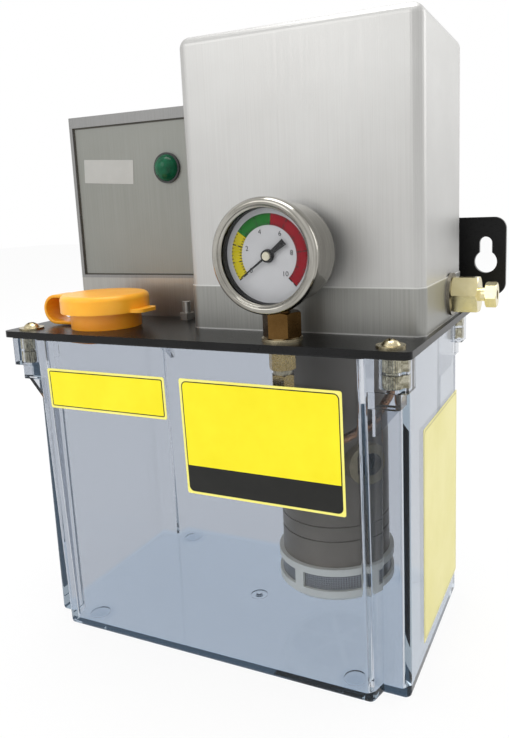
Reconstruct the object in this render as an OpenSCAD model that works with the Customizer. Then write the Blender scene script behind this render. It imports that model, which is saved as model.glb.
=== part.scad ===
// Electric grease pump: a clear tank under a folded deck plate, with a motor box, a control box,
// a filler and a pressure gauge on the deck, and a gear pump that hangs in the tank.
// Millimetres. Origin at the centre of the tank's underside, +Z up, the front faces -Y.

/* [Tank] */
// Width across the side walls
tank_w = 190; // [180:1:210]
// Depth across the front and back walls at the rim
tank_d = 120; // [114:1:140]
// Height from the underside to the rim
tank_h = 149.2; // [140:0.1:180]
// How far the front and back walls each lean in towards the floor
wall_lean = 5; // [0:0.1:6]
// Thickness of the walls
tank_wall = 3.5; // [2.5:0.1:4]
// Thickness of the floor
tank_floor = 3; // [2.5:0.1:6]
// Width of the notch at each upright corner
notch_w = 13; // [12.5:0.1:14]
// Depth of the notch at each upright corner at the rim
notch_d = 13; // [12:0.1:14]
// Slope of the notches' inner sides
notch_slope = 0.27; // [0:0.01:0.35]
// Radius of the outer upright edges
tank_edge_r = 3; // [2:0.1:4.5]
// Radius of the edges round the underside
tank_foot_r = 2; // [1:0.1:2.5]
// Radius of the inner upright edges
tank_inner_r = 1.5; // [1:0.1:3]
// How far the bosses stand out from the side walls
boss_proud = 3; // [1:0.1:4]
// How far the bosses' faces lie behind the front and back walls
boss_setback = 1.5; // [0.5:0.1:3]
// Height of the bosses
boss_h = 13; // [12:0.1:18]
// Height of the narrower step below each boss
boss_step_h = 7; // [4:0.1:10]
// Height of the gusset below each step
gusset_h = 12; // [6:0.1:18]
// Thickness of the gussets
gusset_t = 3; // [2:0.1:4]
// Diameter of the thread inserts
insert_d = 9; // [7.5:0.1:10]
// Length of the thread inserts
insert_l = 12; // [8:0.1:12]
// Depth of the round dimples in the floor
dimple_depth = 0.6; // [0.2:0.1:1.5]
// Diameter of the round dimples in the floor
dimple_d = 10; // [6:0.5:14]

/* [Deck] */
// How far the deck stands out from the side walls
deck_side_overhang = 5; // [4:0.5:8]
// How far the deck stands out from the front wall
deck_front_overhang = 1; // [0.5:0.1:4]
// How far the deck stands out from the back wall, fold and flange included
deck_back_overhang = 6; // [6:0.1:10]
// Thickness of the deck sheet
deck_t = 3; // [2:0.1:4]
// Thickness of the gasket
gasket_t = 0.8; // [0.5:0.1:2]
// Corner radius of the deck
deck_corner_r = 3; // [1:0.5:6]
// Inside radius of the fold at the back
bend_r = 3; // [1:0.5:5]
// Height of the folded flange above the deck
flange_h = 45.3; // [40:0.1:70]
// How far the ears stand out from the deck's sides
ear_reach = 16.5; // [15:0.5:24]
// Clear height between the deck and the ears
ear_lift = 5.5; // [4:0.5:9]
// Corner radius of the ears
ear_r = 6; // [3:0.5:8]
// Diameter of the keyholes' round part
keyhole_d = 11.4; // [9:0.1:13]
// Width of the keyholes' slot
keyhole_slot = 6.4; // [4:0.1:7]
// Height of the keyholes' centres above the deck
keyhole_up = 22.6; // [18:0.1:26]
// Length of the keyholes' slot above the centre
keyhole_rise = 12.8; // [9:0.1:16]
// Diameter of the deck screws' shanks
screw_d = 5; // [4:0.5:6]
// Diameter of the deck screws' heads
screw_head_d = 7.6; // [7.5:0.1:10]
// Height of the deck screws' heads
screw_head_h = 2.4; // [2:0.1:4]
// Length of the deck screws
screw_l = 14; // [10:0.5:16]
// Diameter of the deck washers
washer_d = 11.5; // [10:0.1:12]
// Thickness of the deck washers
washer_t = 0.9; // [0.5:0.1:1.5]

/* [Motor box] */
// Width of the motor box
box_w = 110; // [100:1:116]
// Depth of the motor box
box_d = 76; // [72:1:80]
// Height of the motor box, base block and cover together
box_h = 128; // [118:1:150]
// Height of the base block
base_h = 20; // [18:0.5:24]
// Edge radius of the motor box
box_edge_r = 5; // [3:0.5:8]
// Wall of the motor cover
cover_t = 2; // [1.5:0.1:2.2]
// Distance from the deck's right edge to the motor box
box_side_inset = 2; // [1:0.5:6]
// Distance from the deck's front edge to the motor box
box_front_inset = 29; // [28:0.5:32]
// How far the cover is set back from the base block's sides
cover_set = 0.4; // [0:0.1:1]
// Radius of the motor
motor_r = 33; // [30:0.5:33.5]
// Length of the stator
stator_l = 40; // [30:1:44]
// Diameter of the motor and pump shafts
shaft_d = 8; // [6:0.5:8]

/* [Control box] */
// Height of the control box
control_h = 104; // [90:1:125]
// Distance from the deck's front edge to the control box
control_front_inset = 57; // [56:0.5:60]
// Gap between the control box and the motor box
box_gap = 2; // [1.5:0.5:6]
// Thickness of the control box's sheet
sheet_t = 1.2; // [0.8:0.1:2]
// Thickness of the front panel
panel_t = 1.5; // [1:0.1:2.5]
// Width of the frame beside the front panel
frame_side = 2.7; // [2:0.1:5]
// Height of the frame above the front panel
frame_top = 5.3; // [3:0.1:8]
// Height of the frame below the front panel
frame_foot = 1.5; // [1:0.1:4]
// Diameter of the lamp's lens
lamp_d = 13.2; // [10:0.1:16]
// How far the lamp's lens stands out
lamp_proud = 5; // [3:0.1:6]
// Distance from the control box's right side to the lamp
lamp_inset = 25.5; // [20:0.5:50]
// Height of the lamp above the deck
lamp_up = 75.3; // [60:0.5:85]

/* [Filler] */
// Distance from the deck's left edge to the filler's axis
filler_inset = 41.9; // [40:0.1:50]
// Distance from the deck's front edge to the filler's axis
filler_back = 25.4; // [25:0.1:28]
// Outer diameter of the filler neck
neck_d = 33.4; // [31:0.1:36]
// Wall of the filler neck
neck_t = 2.2; // [1.8:0.1:3]
// Height of the filler neck above the deck
neck_h = 12; // [10.5:0.1:14]
// Outer diameter of the filler cap
cap_d = 42; // [41:0.1:46]
// Height of the filler cap
cap_h = 8.4; // [7:0.1:12]
// Wall of the filler cap
cap_t = 1.8; // [1.4:0.1:2]
// Height of the cap's rim above the deck
cap_lift = 7.8; // [7:0.1:10]
// How far the pull tab stands out
tab_reach = 5; // [3:0.5:10]
// Width of the pull tab
tab_w = 14; // [8:0.5:20]
// Width of the cap strap
strap_w = 11; // [6:0.5:14]
// Thickness of the cap strap
strap_t = 1.5; // [1:0.1:2]
// Radius of the strap's loop
strap_loop_r = 7.3; // [5:0.1:7.6]
// Straight length of the strap beside the cap
strap_run = 6; // [4:0.5:10]

/* [Gauge] */
// Diameter of the gauge's bezel
bezel_d = 45.6; // [44:0.1:52]
// Diameter of the gauge's case
gauge_case_d = 41; // [40:0.1:42]
// Depth of the gauge
gauge_l = 25; // [24:0.5:27]
// Height of the gauge's centre above the deck
gauge_up = 35; // [34:0.5:45]
// Distance from the deck's front edge to the gauge's stem
gauge_back = 12; // [11:0.1:13]
// Distance from the motor box's right side to the gauge's stem
gauge_inset = 55; // [40:1:80]
// Distance from the gauge's front to its stem
stem_set = 16; // [14:0.1:17]
// Diameter of the gauge's window
window_d = 37.2; // [34:0.1:37.4]
// Across the corners of the stem's hexagon
stem_d = 16.2; // [14:0.1:17]
// Diameter of the stem's thread
stem_thread_d = 8; // [7:0.1:9]
// Angle of the pointer at zero, from the right, anticlockwise
zero_angle = 216; // [200:1:240]
// Length of the pointer from its hub
pointer_l = 14.6; // [10:0.1:17]

/* [Pump] */
// Diameter of the pump column
column_d = 53.5; // [48:0.5:54]
// Gap between the strainer and the tank floor
suction_gap = 18.9; // [8:0.1:20]
// Height of the strainer cage
cage_h = 16.4; // [15:0.1:28]
// Outer diameter of the strainer cage
cage_d = 58; // [55:0.1:60]
// How far the cage laps over the end cover
cage_lap = 1.6; // [1:0.1:9]
// Thickness of the end cover
end_cover_t = 15; // [12:0.1:20]
// Thickness of the gears and their plate
gear_t = 6.5; // [5:0.1:10]
// Module of the gears
gear_module = 1.2; // [1.15:0.01:1.25]
// Number of windows in the strainer cage
cage_windows = 5; // [4:1:8]
// Width of the cage's posts
cage_post_w = 5; // [4:0.5:8]
// Depth of the side port's centre below the deck
plug_drop = 60.6; // [50:0.1:75]
// Outer diameter of the side port's plug
plug_d = 19; // [15:0.1:20]
// Diameter of the copper pipes
pipe_d = 4; // [3:0.1:4.5]

/* [Outlet] */
// Height of the outlet above the deck
outlet_up = 11.6; // [11:0.1:12]
// Distance from the deck's front edge to the outlet
outlet_back = 78; // [70:0.5:84]
// Across the corners of the outlet's hexagon
outlet_hex_d = 18; // [15:0.1:20]
// Length of the outlet's hexagon
outlet_hex_l = 11.8; // [8:0.1:14]
// Length of the bare neck between hexagon and nut
outlet_neck_l = 2.8; // [1.5:0.1:5]
// Across the corners of the outlet's nut
outlet_nut_d = 11.8; // [11:0.1:14]
// Length of the outlet's nut
outlet_nut_l = 5; // [4.5:0.1:9]
// Diameter of the tube that the outlet takes
tube_d = 4; // [3:0.1:5]

/* [Fits] */
// Clearance of pieces that are pressed or screwed together
fit_gap = 0.05; // [0.02:0.01:0.1]
// Running clearance of the shafts
run_gap = 0.05; // [0.02:0.01:0.09]
// Clearance of screws in their holes
hole_gap = 0.25; // [0.1:0.05:0.5]
// Gap between turning pieces and their housings
air_gap = 0.4; // [0.35:0.05:0.8]

/* [Hidden] */
$fn = 64;

// Overlap that makes a cut run past a face
cut = 1;
// Share of a hexagon's radius that its end bevels take off
hex_bevel = 0.12;
// Deck
deck_w = tank_w + 2 * deck_side_overhang;
deck_z0 = tank_h + gasket_t;
deck_z1 = deck_z0 + deck_t;
deck_front = -tank_d / 2 - deck_front_overhang;
deck_back = tank_d / 2 + deck_back_overhang;
deck_left = -deck_w / 2;
deck_right = deck_w / 2;
ear_z0 = deck_z1 + ear_lift;
ear_z1 = deck_z1 + flange_h;
keyhole_edge = 10;
keyhole_x = deck_right + ear_reach - keyhole_edge;
keyhole_z = deck_z1 + keyhole_up;
// Corner bosses and their screws
boss_x1 = tank_w / 2 + boss_proud;
boss_x0 = tank_w / 2 - notch_w;
boss_y1 = tank_d / 2 - boss_setback;
boss_y0 = tank_d / 2 - notch_d;
boss_root = 2;
boss_edge_r = 2;
boss_step_inset = 0.5;
bulge_root = 7;
bulge_slice = 0.1;
dimple_inset_x = 25;
dimple_inset_y = 16;
dimple_x = tank_w / 2 - dimple_inset_x;
dimple_y = tank_d / 2 - dimple_inset_y;
foot_r = min(tank_foot_r, tank_edge_r - bulge_slice);
gate_mark_d = dimple_d - 1;
gate_pip_d = 4;
gate_pip_h = 1;
insert_x = (boss_x0 + boss_x1) / 2;
insert_wall = 1.5;
insert_y = boss_y1 - insert_d / 2 - insert_wall;
insert_groove = 1.2;
insert_groove_depth = 0.5;
corners = [[1, 1], [1, -1], [-1, 1], [-1, -1]];
// Motor box
box_x1 = deck_right - box_side_inset;
box_x0 = box_x1 - box_w;
box_y0 = deck_front + box_front_inset;
box_y1 = box_y0 + box_d;
cover_w = box_w - 2 * cover_set;
cover_d = box_d - 2 * cover_set;
box_cx = (box_x0 + box_x1) / 2;
box_cy = (box_y0 + box_y1) / 2;
base_z1 = deck_z1 + base_h;
box_z1 = deck_z1 + box_h;
shaft_r = shaft_d / 2;
coupling_wall = 5;
coupling_r = shaft_r + coupling_wall;
coupling_l = 14;
chamber_gap = 4;
chamber_r = coupling_r + chamber_gap;
clamp_sink = 7;
clamp_thread_l = 12;
clamp_hole_spare = 2;
clamp_pcd_r = 20;
lug_l = 12;
lug_d = 7;
lug_h = 10;
lug_gap = 0.2;
cover_screw_d = 3;
cover_screw_head_d = 5.6;
cover_screw_head_h = 1.8;
cover_screw_spare = 1;
bell_wall = 3.5;
bell_floor = 5;
bearing_r = 11;
bearing_w = 7;
bearing_seat = 2;
bearing_boss_r = bearing_r + 3;
winding_h = 8;
bell_h = bell_floor + bearing_w + winding_h;
stator_z0 = base_z1 + bell_h;
stator_z1 = stator_z0 + stator_l;
bell_top_z = stator_z1 + bell_h;
stator_ring = 15;
rotor_spare = 2;
rotor_r = motor_r - stator_ring;
stator_bore_r = rotor_r + air_gap;
slot_lip = 1.5;
slot_l = 7;
slot_w = 3;
motor_screw_d = 4;
motor_screw_r = (bearing_boss_r + motor_r - bell_wall) / 2;
motor_screw_head_d = 7;
motor_screw_head_h = 2.4;
motor_screw_grip = 8;
motor_hole_spare = 2;
lower_bearing_z = base_z1 + bell_floor;
upper_bearing_z = bell_top_z - bell_floor - bearing_w;
// Pump
pump_x = box_cx;
pump_y = box_cy;
column_r = column_d / 2;
cage_z0 = tank_floor + suction_gap;
cage_z1 = cage_z0 + cage_h;
end_z0 = cage_z1 - cage_lap;
end_z1 = end_z0 + end_cover_t;
gear_z1 = end_z1 + gear_t;
gear_teeth = 12;
pressure_angle = 25;
backlash = 0.4;
gear_pitch_r = gear_module * gear_teeth / 2;
gear_base_r = gear_pitch_r * cos(pressure_angle);
gear_tip_r = gear_pitch_r + 0.92 * gear_module;
gear_root_r = gear_pitch_r - 1.25 * gear_module;
gear_pocket_r = gear_tip_r + air_gap;
gear_centres = 2 * gear_pitch_r;
gear_side_gap = 0.1;
idler_r = 3;
idler_sink = 6;
bush_l = 12;
bush_r = shaft_r + 3;
seal_r = shaft_r + 5;
seal_h = 6;
shaft_tail = 7;
pump_bolt_d = 4;
pump_bolt_r = 20;
pump_bolt_sink = 12;
pump_bolt_spare = 1;
pump_bolt_head_d = 7;
pump_bolt_head_h = 3;
suction_r = 2.6;
suction_x = 9;
shaft_tail_spare = 1;
groove = 0.7;
coupling_z0 = deck_z1 + 4;
shaft_joint_z = coupling_z0 + coupling_l / 2;
shaft_joint_gap = 1;
cage_r = cage_d / 2;
cage_lap_r = column_r + fit_gap;
cage_wall = 1.4;
cage_inner_r = cage_r - cage_wall;
cage_ring = 5.4;
cage_rim = 3;
cage_foot_r = 2;
cage_bar_w = 3;
cage_turn = 36;
cage_floor = 1.6;
cage_ledge = 1.6;
cage_ledge_t = 1.2;
cage_head = 1.8;
cage_bar_set = 0.2;
mesh_t = 0.5;
plug_angle = -39;
plug_z = deck_z0 - plug_drop;
plug_head = 4;
plug_seat = 1.5;
plug_passage = 4;
plug_socket_l = 5;
plug_shank_r = 6;
plug_shank_l = 8;
plug_socket_r = 5.2;
// Pipes
pipe_r = pipe_d / 2;
pipe_sides = 12;
pipe_nut_r = pipe_r + 3;
pipe_nut_l = 6;
pipe_sink = 4;
pipe_nut_seat = 1;
pipe_port_spare = 2;
pipe_lead = 1;
discharge_angle = -75;
discharge_drop = 47;
discharge_reach = 16;
discharge_swing = [10, 0, 4];
discharge_rise = [4, -22, -26];
discharge_z = deck_z0 - discharge_drop;
union_gap = 0.5;
union_hex_r = 7;
union_y = deck_front + outlet_back;
union_x = pump_x + sqrt(pow(column_r + union_hex_r + union_gap, 2) - pow(union_y - pump_y, 2));
union_hex_l = 6;
union_shank_r = 4.2;
union_shank_l = 8;
gallery_r = 1.6;
// Gauge
gauge_x = box_x1 - gauge_inset;
gauge_y = deck_front + gauge_back;
gauge_z = deck_z1 + gauge_up;
gauge_front = gauge_y - stem_set;
gauge_case_t = 1.1;
gauge_case_set = 5.1;
gauge_case_l = gauge_l - gauge_case_set;
dial_set = 2.5;
dial_z = gauge_case_l - dial_set;
dial_t = 0.6;
glass_t = 1.6;
glass_set = 3.6;
glass_z = gauge_l - glass_set;
bezel_lap = 5;
bezel_seat = 2;
bezel_skirt = 3;
bezel_step = 0.8;
bezel_lip = 1.2;
stem_washer_t = 1.2;
stem_neck_r = 3.6;
stem_turn = 12;
gauge_nut_r = stem_thread_d / 2 + 1.7;
gauge_nut_l = 9;
stem_tail = 2;
arbor_r = 0.8;
hub_r = 1.9;
pointer_t = 0.6;
pointer_z = dial_z + dial_t + 1;
gauge_line_drop = 36;
gauge_line_reach = 10;
gauge_line_z = deck_z0 - gauge_line_drop;
stem_block = 8;
bourdon_r = 12;
bourdon_w = 2;
bourdon_h = 6;
movement_set = 4;
movement_t = 1;
movement_r = 7;
movement_post_r = 1;
movement_post_x = 5;
movement_post_z = 2;
arbor_l = 6;
hub_rise = 0.5;
pointer_tail = 9.5;
pointer_tail_w = 2.3;
pointer_neck = 1.2;
pointer_neck_w = 1.8;
pointer_root_w = 1.2;
pointer_tip_w = 0.3;
// Outlet
outlet_z = deck_z1 + outlet_up;
outlet_washer_t = 1.5;
outlet_washer_rim = 1.5;
outlet_washer_d = outlet_hex_d + outlet_washer_rim;
outlet_hex_x = box_x1 + outlet_washer_t;
outlet_neck_x = outlet_hex_x + outlet_hex_l;
outlet_nut_x = outlet_neck_x + outlet_neck_l;
outlet_end_x = outlet_nut_x + outlet_nut_l;
outlet_shank_r = 5;
outlet_shank_l = 8;
outlet_neck_wall = 1.1;
outlet_neck_r = tube_d / 2 + outlet_neck_wall;
outlet_nut_sink = 6;
sleeve_l = 2;
sleeve_t = 1;
sleeve_x = outlet_neck_x - outlet_nut_sink - sleeve_l;
outlet_turn = 28;
outlet_nut_turn = 41;
outlet_l = outlet_shank_l + outlet_end_x - box_x1;
// Control box
control_x0 = deck_left;
control_x1 = box_x0 - box_gap;
control_y0 = deck_front + control_front_inset;
control_back_gap = 0.2;
control_y1 = deck_back - deck_t - bend_r - control_back_gap;
control_z1 = deck_z1 + control_h;
control_edge_r = 1.5;
panel_gap = 0.2;
lamp_x = control_x1 - lamp_inset;
lamp_z = deck_z1 + lamp_up;
lamp_r = lamp_d / 2;
lamp_stem_r = 5;
lamp_stem_l = 22;
lamp_rim_t = 1.2;
lamp_rim_w = 0.9;
lamp_nut_h = 3;
lamp_nut_w = 1;
nut_bite = 0.2;
gland_r = 8;
gland_hex_r = 11;
gland_hex_l = 5;
gland_dome_l = 6;
gland_lip_l = 3;
gland_dome_r = gland_hex_r - 1.2;
gland_lip_r = gland_hex_r - 2;
gland_mouth_r = gland_hex_r - 5;
gland_nut_l = 4;
gland_tail = 6;
cord_r = 4;
gland_inset = 20;
gland_up = 17;
gland_y = control_y1 - gland_inset;
gland_z = base_z1 + gland_up;
stud_r = 2;
stud_inset = 14.6;
stud_set = 6;
stud_l = 9;
stud_nut_h = 3.4;
board_w = 60;
board_h = 56;
board_t = 1.6;
board_up = 12;
board_post_l = 8;
board_post_r = 2.5;
board_post_inset = 4;
// Parts on the board: left edge, foot, width, height and depth
board_parts = [[-22, 8, 14, 16, 14], [-4, 8, 24, 20, 20], [-20, 34, 18, 12, 5], [6, 36, 12, 12, 9]];
// Filler
filler_x = deck_left + filler_inset;
filler_y = deck_front + filler_back;
neck_r = neck_d / 2;
neck_foot_r = neck_r - 1.2;
neck_bore_r = neck_r - neck_t;
neck_bead_r = neck_r + 1.6;
neck_bead_h = 2;
neck_drop = 3;
ring_nut_r = neck_foot_r + 3.6;
ring_nut_h = 2;
cap_r = cap_d / 2;
cap_z0 = deck_z1 + cap_lift;
cap_z1 = cap_z0 + cap_h;
cap_edge_r = 2.5;
tab_t = 1.6;
tab_edge_r = 3.5;
tab_root = 0.5;
strap_gap = 0.3;
strap_x = filler_x - cap_r - strap_run;
strap_foot = 0.6;
strap_z = deck_z1 + strap_foot + strap_loop_r;

// Rectangle with rounded corners between two opposite corners
module rounded_rect(x0, x1, y0, y1, r) {
    translate([x0 + r, y0]) square([x1 - x0 - 2 * r, y1 - y0]);
    translate([x0, y0 + r]) square([x1 - x0, y1 - y0 - 2 * r]);
    for (x = [x0 + r, x1 - r], y = [y0 + r, y1 - r]) translate([x, y]) circle(r);
}

// Ring or tube standing on z0
module tube(z0, z1, r_out, r_in) {
    translate([0, 0, z0]) difference() {
        cylinder(h = z1 - z0, r = r_out);
        translate([0, 0, -cut]) cylinder(h = z1 - z0 + 2 * cut, r = r_in);
    }
}

// Hexagonal bar standing on z 0, across the corners twice r, with its corners turned off at both ends
module hex_bar(h, r) {
    bevel = r * hex_bevel;
    intersection() {
        cylinder(h = h, r = r, $fn = 6);
        rotate_extrude() polygon([[0, 0], [r - bevel, 0], [r, bevel * tan(30)], [r, h - bevel * tan(30)],
                                  [r - bevel, h], [0, h]]);
    }
}

// Hexagonal nut standing on z0
module hex_nut(z0, z1, r_out, r_in) {
    translate([0, 0, z0]) difference() {
        hex_bar(z1 - z0, r_out);
        translate([0, 0, -cut]) cylinder(h = z1 - z0 + 2 * cut, r = r_in);
    }
}

// Copies at the deck's four corner screws
module at_corners() {
    for (c = corners) translate([c[0] * insert_x, c[1] * insert_y, 0]) children();
}

// Copies of a shape in the corner towards +X and +Y, mirrored into all four corners
module in_corners() {
    for (c = corners) mirror([c[0] < 0 ? 1 : 0, 0, 0]) mirror([0, c[1] < 0 ? 1 : 0, 0]) children();
}

// Copies on a circle round the pump's axis
module around_pump(r, count, start) {
    for (i = [0 : count - 1]) translate([pump_x, pump_y, 0]) rotate(start + i * 360 / count)
        translate([r, 0, 0]) children();
}

// Local frame of the gauge: z runs forward from the back of the case
module in_gauge() {
    translate([gauge_x, gauge_front + gauge_l, gauge_z]) rotate([90, 0, 0]) children();
}

// Local frame of the outlet: z runs to the right from the base block's side
module in_outlet() {
    translate([box_x1, union_y, outlet_z]) rotate([0, 90, 0]) children();
}

// Round pipe swept along a list of points
function unit(v) = v / norm(v);
function tangent(p, i) = unit(p[min(i + 1, len(p) - 1)] - p[max(i - 1, 0)]);
function side_of(t, hint) = unit(hint - (hint * t) * t);
module swept_pipe(p, r, hint) {
    n = len(p);
    ring = [for (i = [0 : n - 1]) let (t = tangent(p, i), a = side_of(t, hint), b = cross(t, a))
        for (k = [0 : pipe_sides - 1]) let (c = k * 360 / pipe_sides) p[i] + r * (cos(c) * a + sin(c) * b)];
    wall = [for (i = [0 : n - 2], k = [0 : pipe_sides - 1]) let (k2 = (k + 1) % pipe_sides,
        a = i * pipe_sides, b = a + pipe_sides) each [[a + k, b + k, b + k2], [a + k, b + k2, a + k2]]];
    first = [for (k = [0 : pipe_sides - 1]) k];
    last = [for (k = [pipe_sides - 1 : -1 : 0]) (n - 1) * pipe_sides + k];
    polyhedron(points = ring, faces = concat([first], wall, [last]), convexity = 6);
}

// Points of a cubic curve between two ends and their handles
function bezier(a, b, c, d, steps) = [for (i = [0 : steps]) let (t = i / steps, s = 1 - t)
    s * s * s * a + 3 * s * s * t * b + 3 * s * t * t * c + t * t * t * d];

// Slices that round an underside's edge: how far each is drawn in, and its height
function foot_slices(r) = [for (a = [0 : 30 : 90]) [r * (1 - sin(a)), r * (1 - cos(a))]];

// The bulge of the back wall between two heights, drawn in from the outside by an inset
module bulge(inset, r, z0, z1, round_r) {
    y_root = tank_d / 2 - notch_d - bulge_root;
    slices = concat([for (f = foot_slices(round_r)) [f[0], z0 + f[1]]], [[0, z1 - bulge_slice]]);
    hull() for (f = slices, side = [-1, 1]) {
        y_wall = tank_d / 2 - wall_lean * (1 - f[1] / tank_h) - inset - r;
        x_wall = boss_x0 - inset - r;
        translate([side * x_wall, y_wall, f[1]]) cylinder(h = bulge_slice, r = r - f[0], $fn = 32);
        translate([side * (x_wall + notch_slope * (y_wall - y_root)), y_root, f[1]])
            cylinder(h = bulge_slice, r = r - f[0], $fn = 32);
    }
}

// The tank's block without its bulges, with a rounded foot
module tank_block() {
    translate([0, 0, foot_r]) linear_extrude(tank_h - foot_r) tank_outline(0, tank_edge_r);
    hull() for (f = foot_slices(foot_r), x = [-1, 1], y = [-1, 1])
        translate([x * (tank_w / 2 - tank_edge_r), y * (tank_d / 2 - notch_d - tank_edge_r), f[1]])
            cylinder(h = bulge_slice, r = tank_edge_r - f[0], $fn = 64);
}

// The bulge's outline at the rim
module bulge_outline(inset, r) {
    hull() for (side = [-1, 1]) {
        y_wall = tank_d / 2 - inset - r;
        y_root = tank_d / 2 - notch_d - bulge_root;
        x_wall = boss_x0 - inset - r;
        translate([side * x_wall, y_wall]) circle(r, $fn = 32);
        translate([side * (x_wall + notch_slope * (y_wall - y_root)), y_root]) circle(r, $fn = 32);
    }
}

// The tank's outline without its bulges
module tank_outline(inset, r) {
    rounded_rect(inset - tank_w / 2, tank_w / 2 - inset, inset + notch_d - tank_d / 2,
                 tank_d / 2 - notch_d - inset, r);
}

// One corner boss with its step and gusset, in the corner towards +X and +Y
module corner_boss() {
    step_x1 = tank_w / 2 - boss_step_inset;
    step_y1 = boss_y1 - 3 * boss_step_inset;
    translate([0, 0, tank_h - boss_h]) linear_extrude(boss_h)
        rounded_rect(boss_x0 - boss_root, boss_x1, boss_y0 - boss_root, boss_y1, boss_edge_r);
    translate([0, 0, tank_h - boss_h - boss_step_h]) linear_extrude(boss_step_h)
        rounded_rect(boss_x0 - boss_root, step_x1, boss_y0 - boss_root, step_y1, boss_edge_r);
    translate([0, insert_y + gusset_t / 2, tank_h - boss_h - boss_step_h]) rotate([90, 0, 0])
        linear_extrude(gusset_t) polygon([[boss_x0 - boss_root, 0], [step_x1 - boss_step_inset, 0],
                                          [boss_x0 + boss_root, -gusset_h], [boss_x0 - boss_root, -gusset_h]]);
}

module tank() color([0.72, 0.78, 0.85, 0.45]) {
    tank_shell();
    translate([0, 0, tank_floor - dimple_depth / 2])
        cylinder(h = gate_pip_h, r1 = gate_pip_d / 2, r2 = gate_pip_d / 4);
}

module tank_shell() difference() {
    union() {
        tank_block();
        for (back = [0, 1]) mirror([0, back, 0]) bulge(0, tank_edge_r, 0, tank_h, foot_r);
        in_corners() corner_boss();
    }
    translate([0, 0, tank_floor]) linear_extrude(tank_h) tank_outline(tank_wall, tank_inner_r);
    for (back = [0, 1]) mirror([0, back, 0]) bulge(tank_wall, tank_inner_r, tank_floor, tank_h + cut, 0);
    at_corners() translate([0, 0, tank_h - insert_l]) cylinder(h = insert_l + cut, r = insert_d / 2 + fit_gap);
    for (c = corners) translate([c[0] * dimple_x, c[1] * dimple_y, tank_floor - dimple_depth])
        cylinder(h = dimple_depth + cut, d = dimple_d);
    tube(tank_floor - dimple_depth, tank_floor + cut, gate_mark_d / 2, gate_pip_d / 2);
}

module thread_inserts() color("goldenrod") at_corners() difference() {
    tube(tank_h - insert_l, tank_h, insert_d / 2, screw_d / 2 + fit_gap);
    translate([0, 0, tank_h - insert_l / 2 - insert_groove / 2])
        tube(0, insert_groove, insert_d, insert_d / 2 - insert_groove_depth);
}

// One layer of the tank's rim with its bosses, less the inside
module deck_gasket() color("dimgray") translate([0, 0, tank_h]) difference() {
    union() {
        linear_extrude(gasket_t) tank_outline(0, tank_edge_r);
        for (back = [0, 1]) mirror([0, back, 0]) linear_extrude(gasket_t) bulge_outline(0, tank_edge_r);
        in_corners() linear_extrude(gasket_t)
            rounded_rect(boss_x0 - boss_root, boss_x1, boss_y0 - boss_root, boss_y1, boss_edge_r);
    }
    translate([0, 0, -cut]) linear_extrude(gasket_t + 2 * cut) tank_outline(tank_wall, tank_inner_r);
    for (back = [0, 1]) mirror([0, back, 0]) translate([0, 0, -cut]) linear_extrude(gasket_t + 2 * cut)
        bulge_outline(tank_wall, tank_inner_r);
    at_corners() translate([0, 0, -cut]) cylinder(h = gasket_t + 2 * cut, r = screw_d / 2 + hole_gap);
}

// Side view of the folded sheet
module deck_fold() {
    r_out = bend_r + deck_t;
    translate([deck_front, 0]) square([deck_back - deck_front - r_out, deck_t]);
    translate([deck_back - r_out, r_out]) intersection() {
        difference() {
            circle(r_out);
            circle(bend_r);
        }
        translate([0, -r_out]) square(r_out);
    }
    translate([deck_back - deck_t, r_out]) square([deck_t, ear_z1 - deck_z0 - r_out - ear_r]);
}

// Front view of a keyhole
module keyhole() {
    circle(d = keyhole_d);
    translate([-keyhole_slot / 2, 0]) square([keyhole_slot, keyhole_rise - keyhole_slot / 2]);
    translate([0, keyhole_rise - keyhole_slot / 2]) circle(d = keyhole_slot);
}

module deck_plate() color("#1c1c1e") difference() {
    union() {
        translate([deck_left, 0, deck_z0]) rotate([90, 0, 90]) linear_extrude(deck_w) deck_fold();
        translate([0, deck_back, 0]) rotate([90, 0, 0]) linear_extrude(deck_t)
            rounded_rect(deck_left - ear_reach, deck_right + ear_reach, ear_z0, ear_z1, ear_r);
    }
    for (s = [-1, 1]) translate([s * keyhole_x, deck_back + cut, keyhole_z]) rotate([90, 0, 0])
        linear_extrude(deck_t + 2 * cut) keyhole();
    for (s = [-1, 1]) translate([s * (deck_right - deck_corner_r), deck_front + deck_corner_r, deck_z0 - cut])
        mirror([s < 0 ? 1 : 0, 0, 0]) difference() {
            translate([0, -deck_corner_r - cut, 0])
                cube([deck_corner_r + cut, deck_corner_r + cut, deck_t + 2 * cut]);
            translate([0, 0, -cut]) cylinder(h = deck_t + 4 * cut, r = deck_corner_r);
        }
    at_corners() deck_hole(screw_d / 2 + hole_gap);
    translate([pump_x, pump_y, 0]) deck_hole(chamber_r);
    around_pump(clamp_pcd_r, 4, 45) deck_hole(screw_d / 2 + hole_gap);
    translate([union_x, union_y, 0]) deck_hole(union_shank_r + hole_gap);
    translate([gauge_x, gauge_y, 0]) deck_hole(stem_thread_d / 2 + hole_gap);
    translate([filler_x, filler_y, 0]) deck_hole(neck_foot_r + hole_gap);
    at_earth_stud() deck_hole(stud_r + hole_gap);
}

module deck_hole(r) { translate([0, 0, deck_z0 - cut]) cylinder(h = deck_t + 2 * cut, r = r); }

// Pan head with a cross recess over a shank, seated at z0
module pan_screw(z0, shank_d, length, head_d, head_h) {
    slot = head_d / 7;
    translate([0, 0, z0 - length]) cylinder(h = length, d = shank_d);
    difference() {
        translate([0, 0, z0]) rotate_extrude() intersection() {
            translate([0, head_h - (head_h * head_h + head_d * head_d / 4) / (2 * head_h)])
                circle((head_h * head_h + head_d * head_d / 4) / (2 * head_h));
            square([head_d / 2, head_h]);
        }
        for (a = [0, 90]) translate([0, 0, z0 + head_h]) rotate(a)
            cube([head_d * 0.6, slot, head_h], center = true);
    }
}

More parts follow.
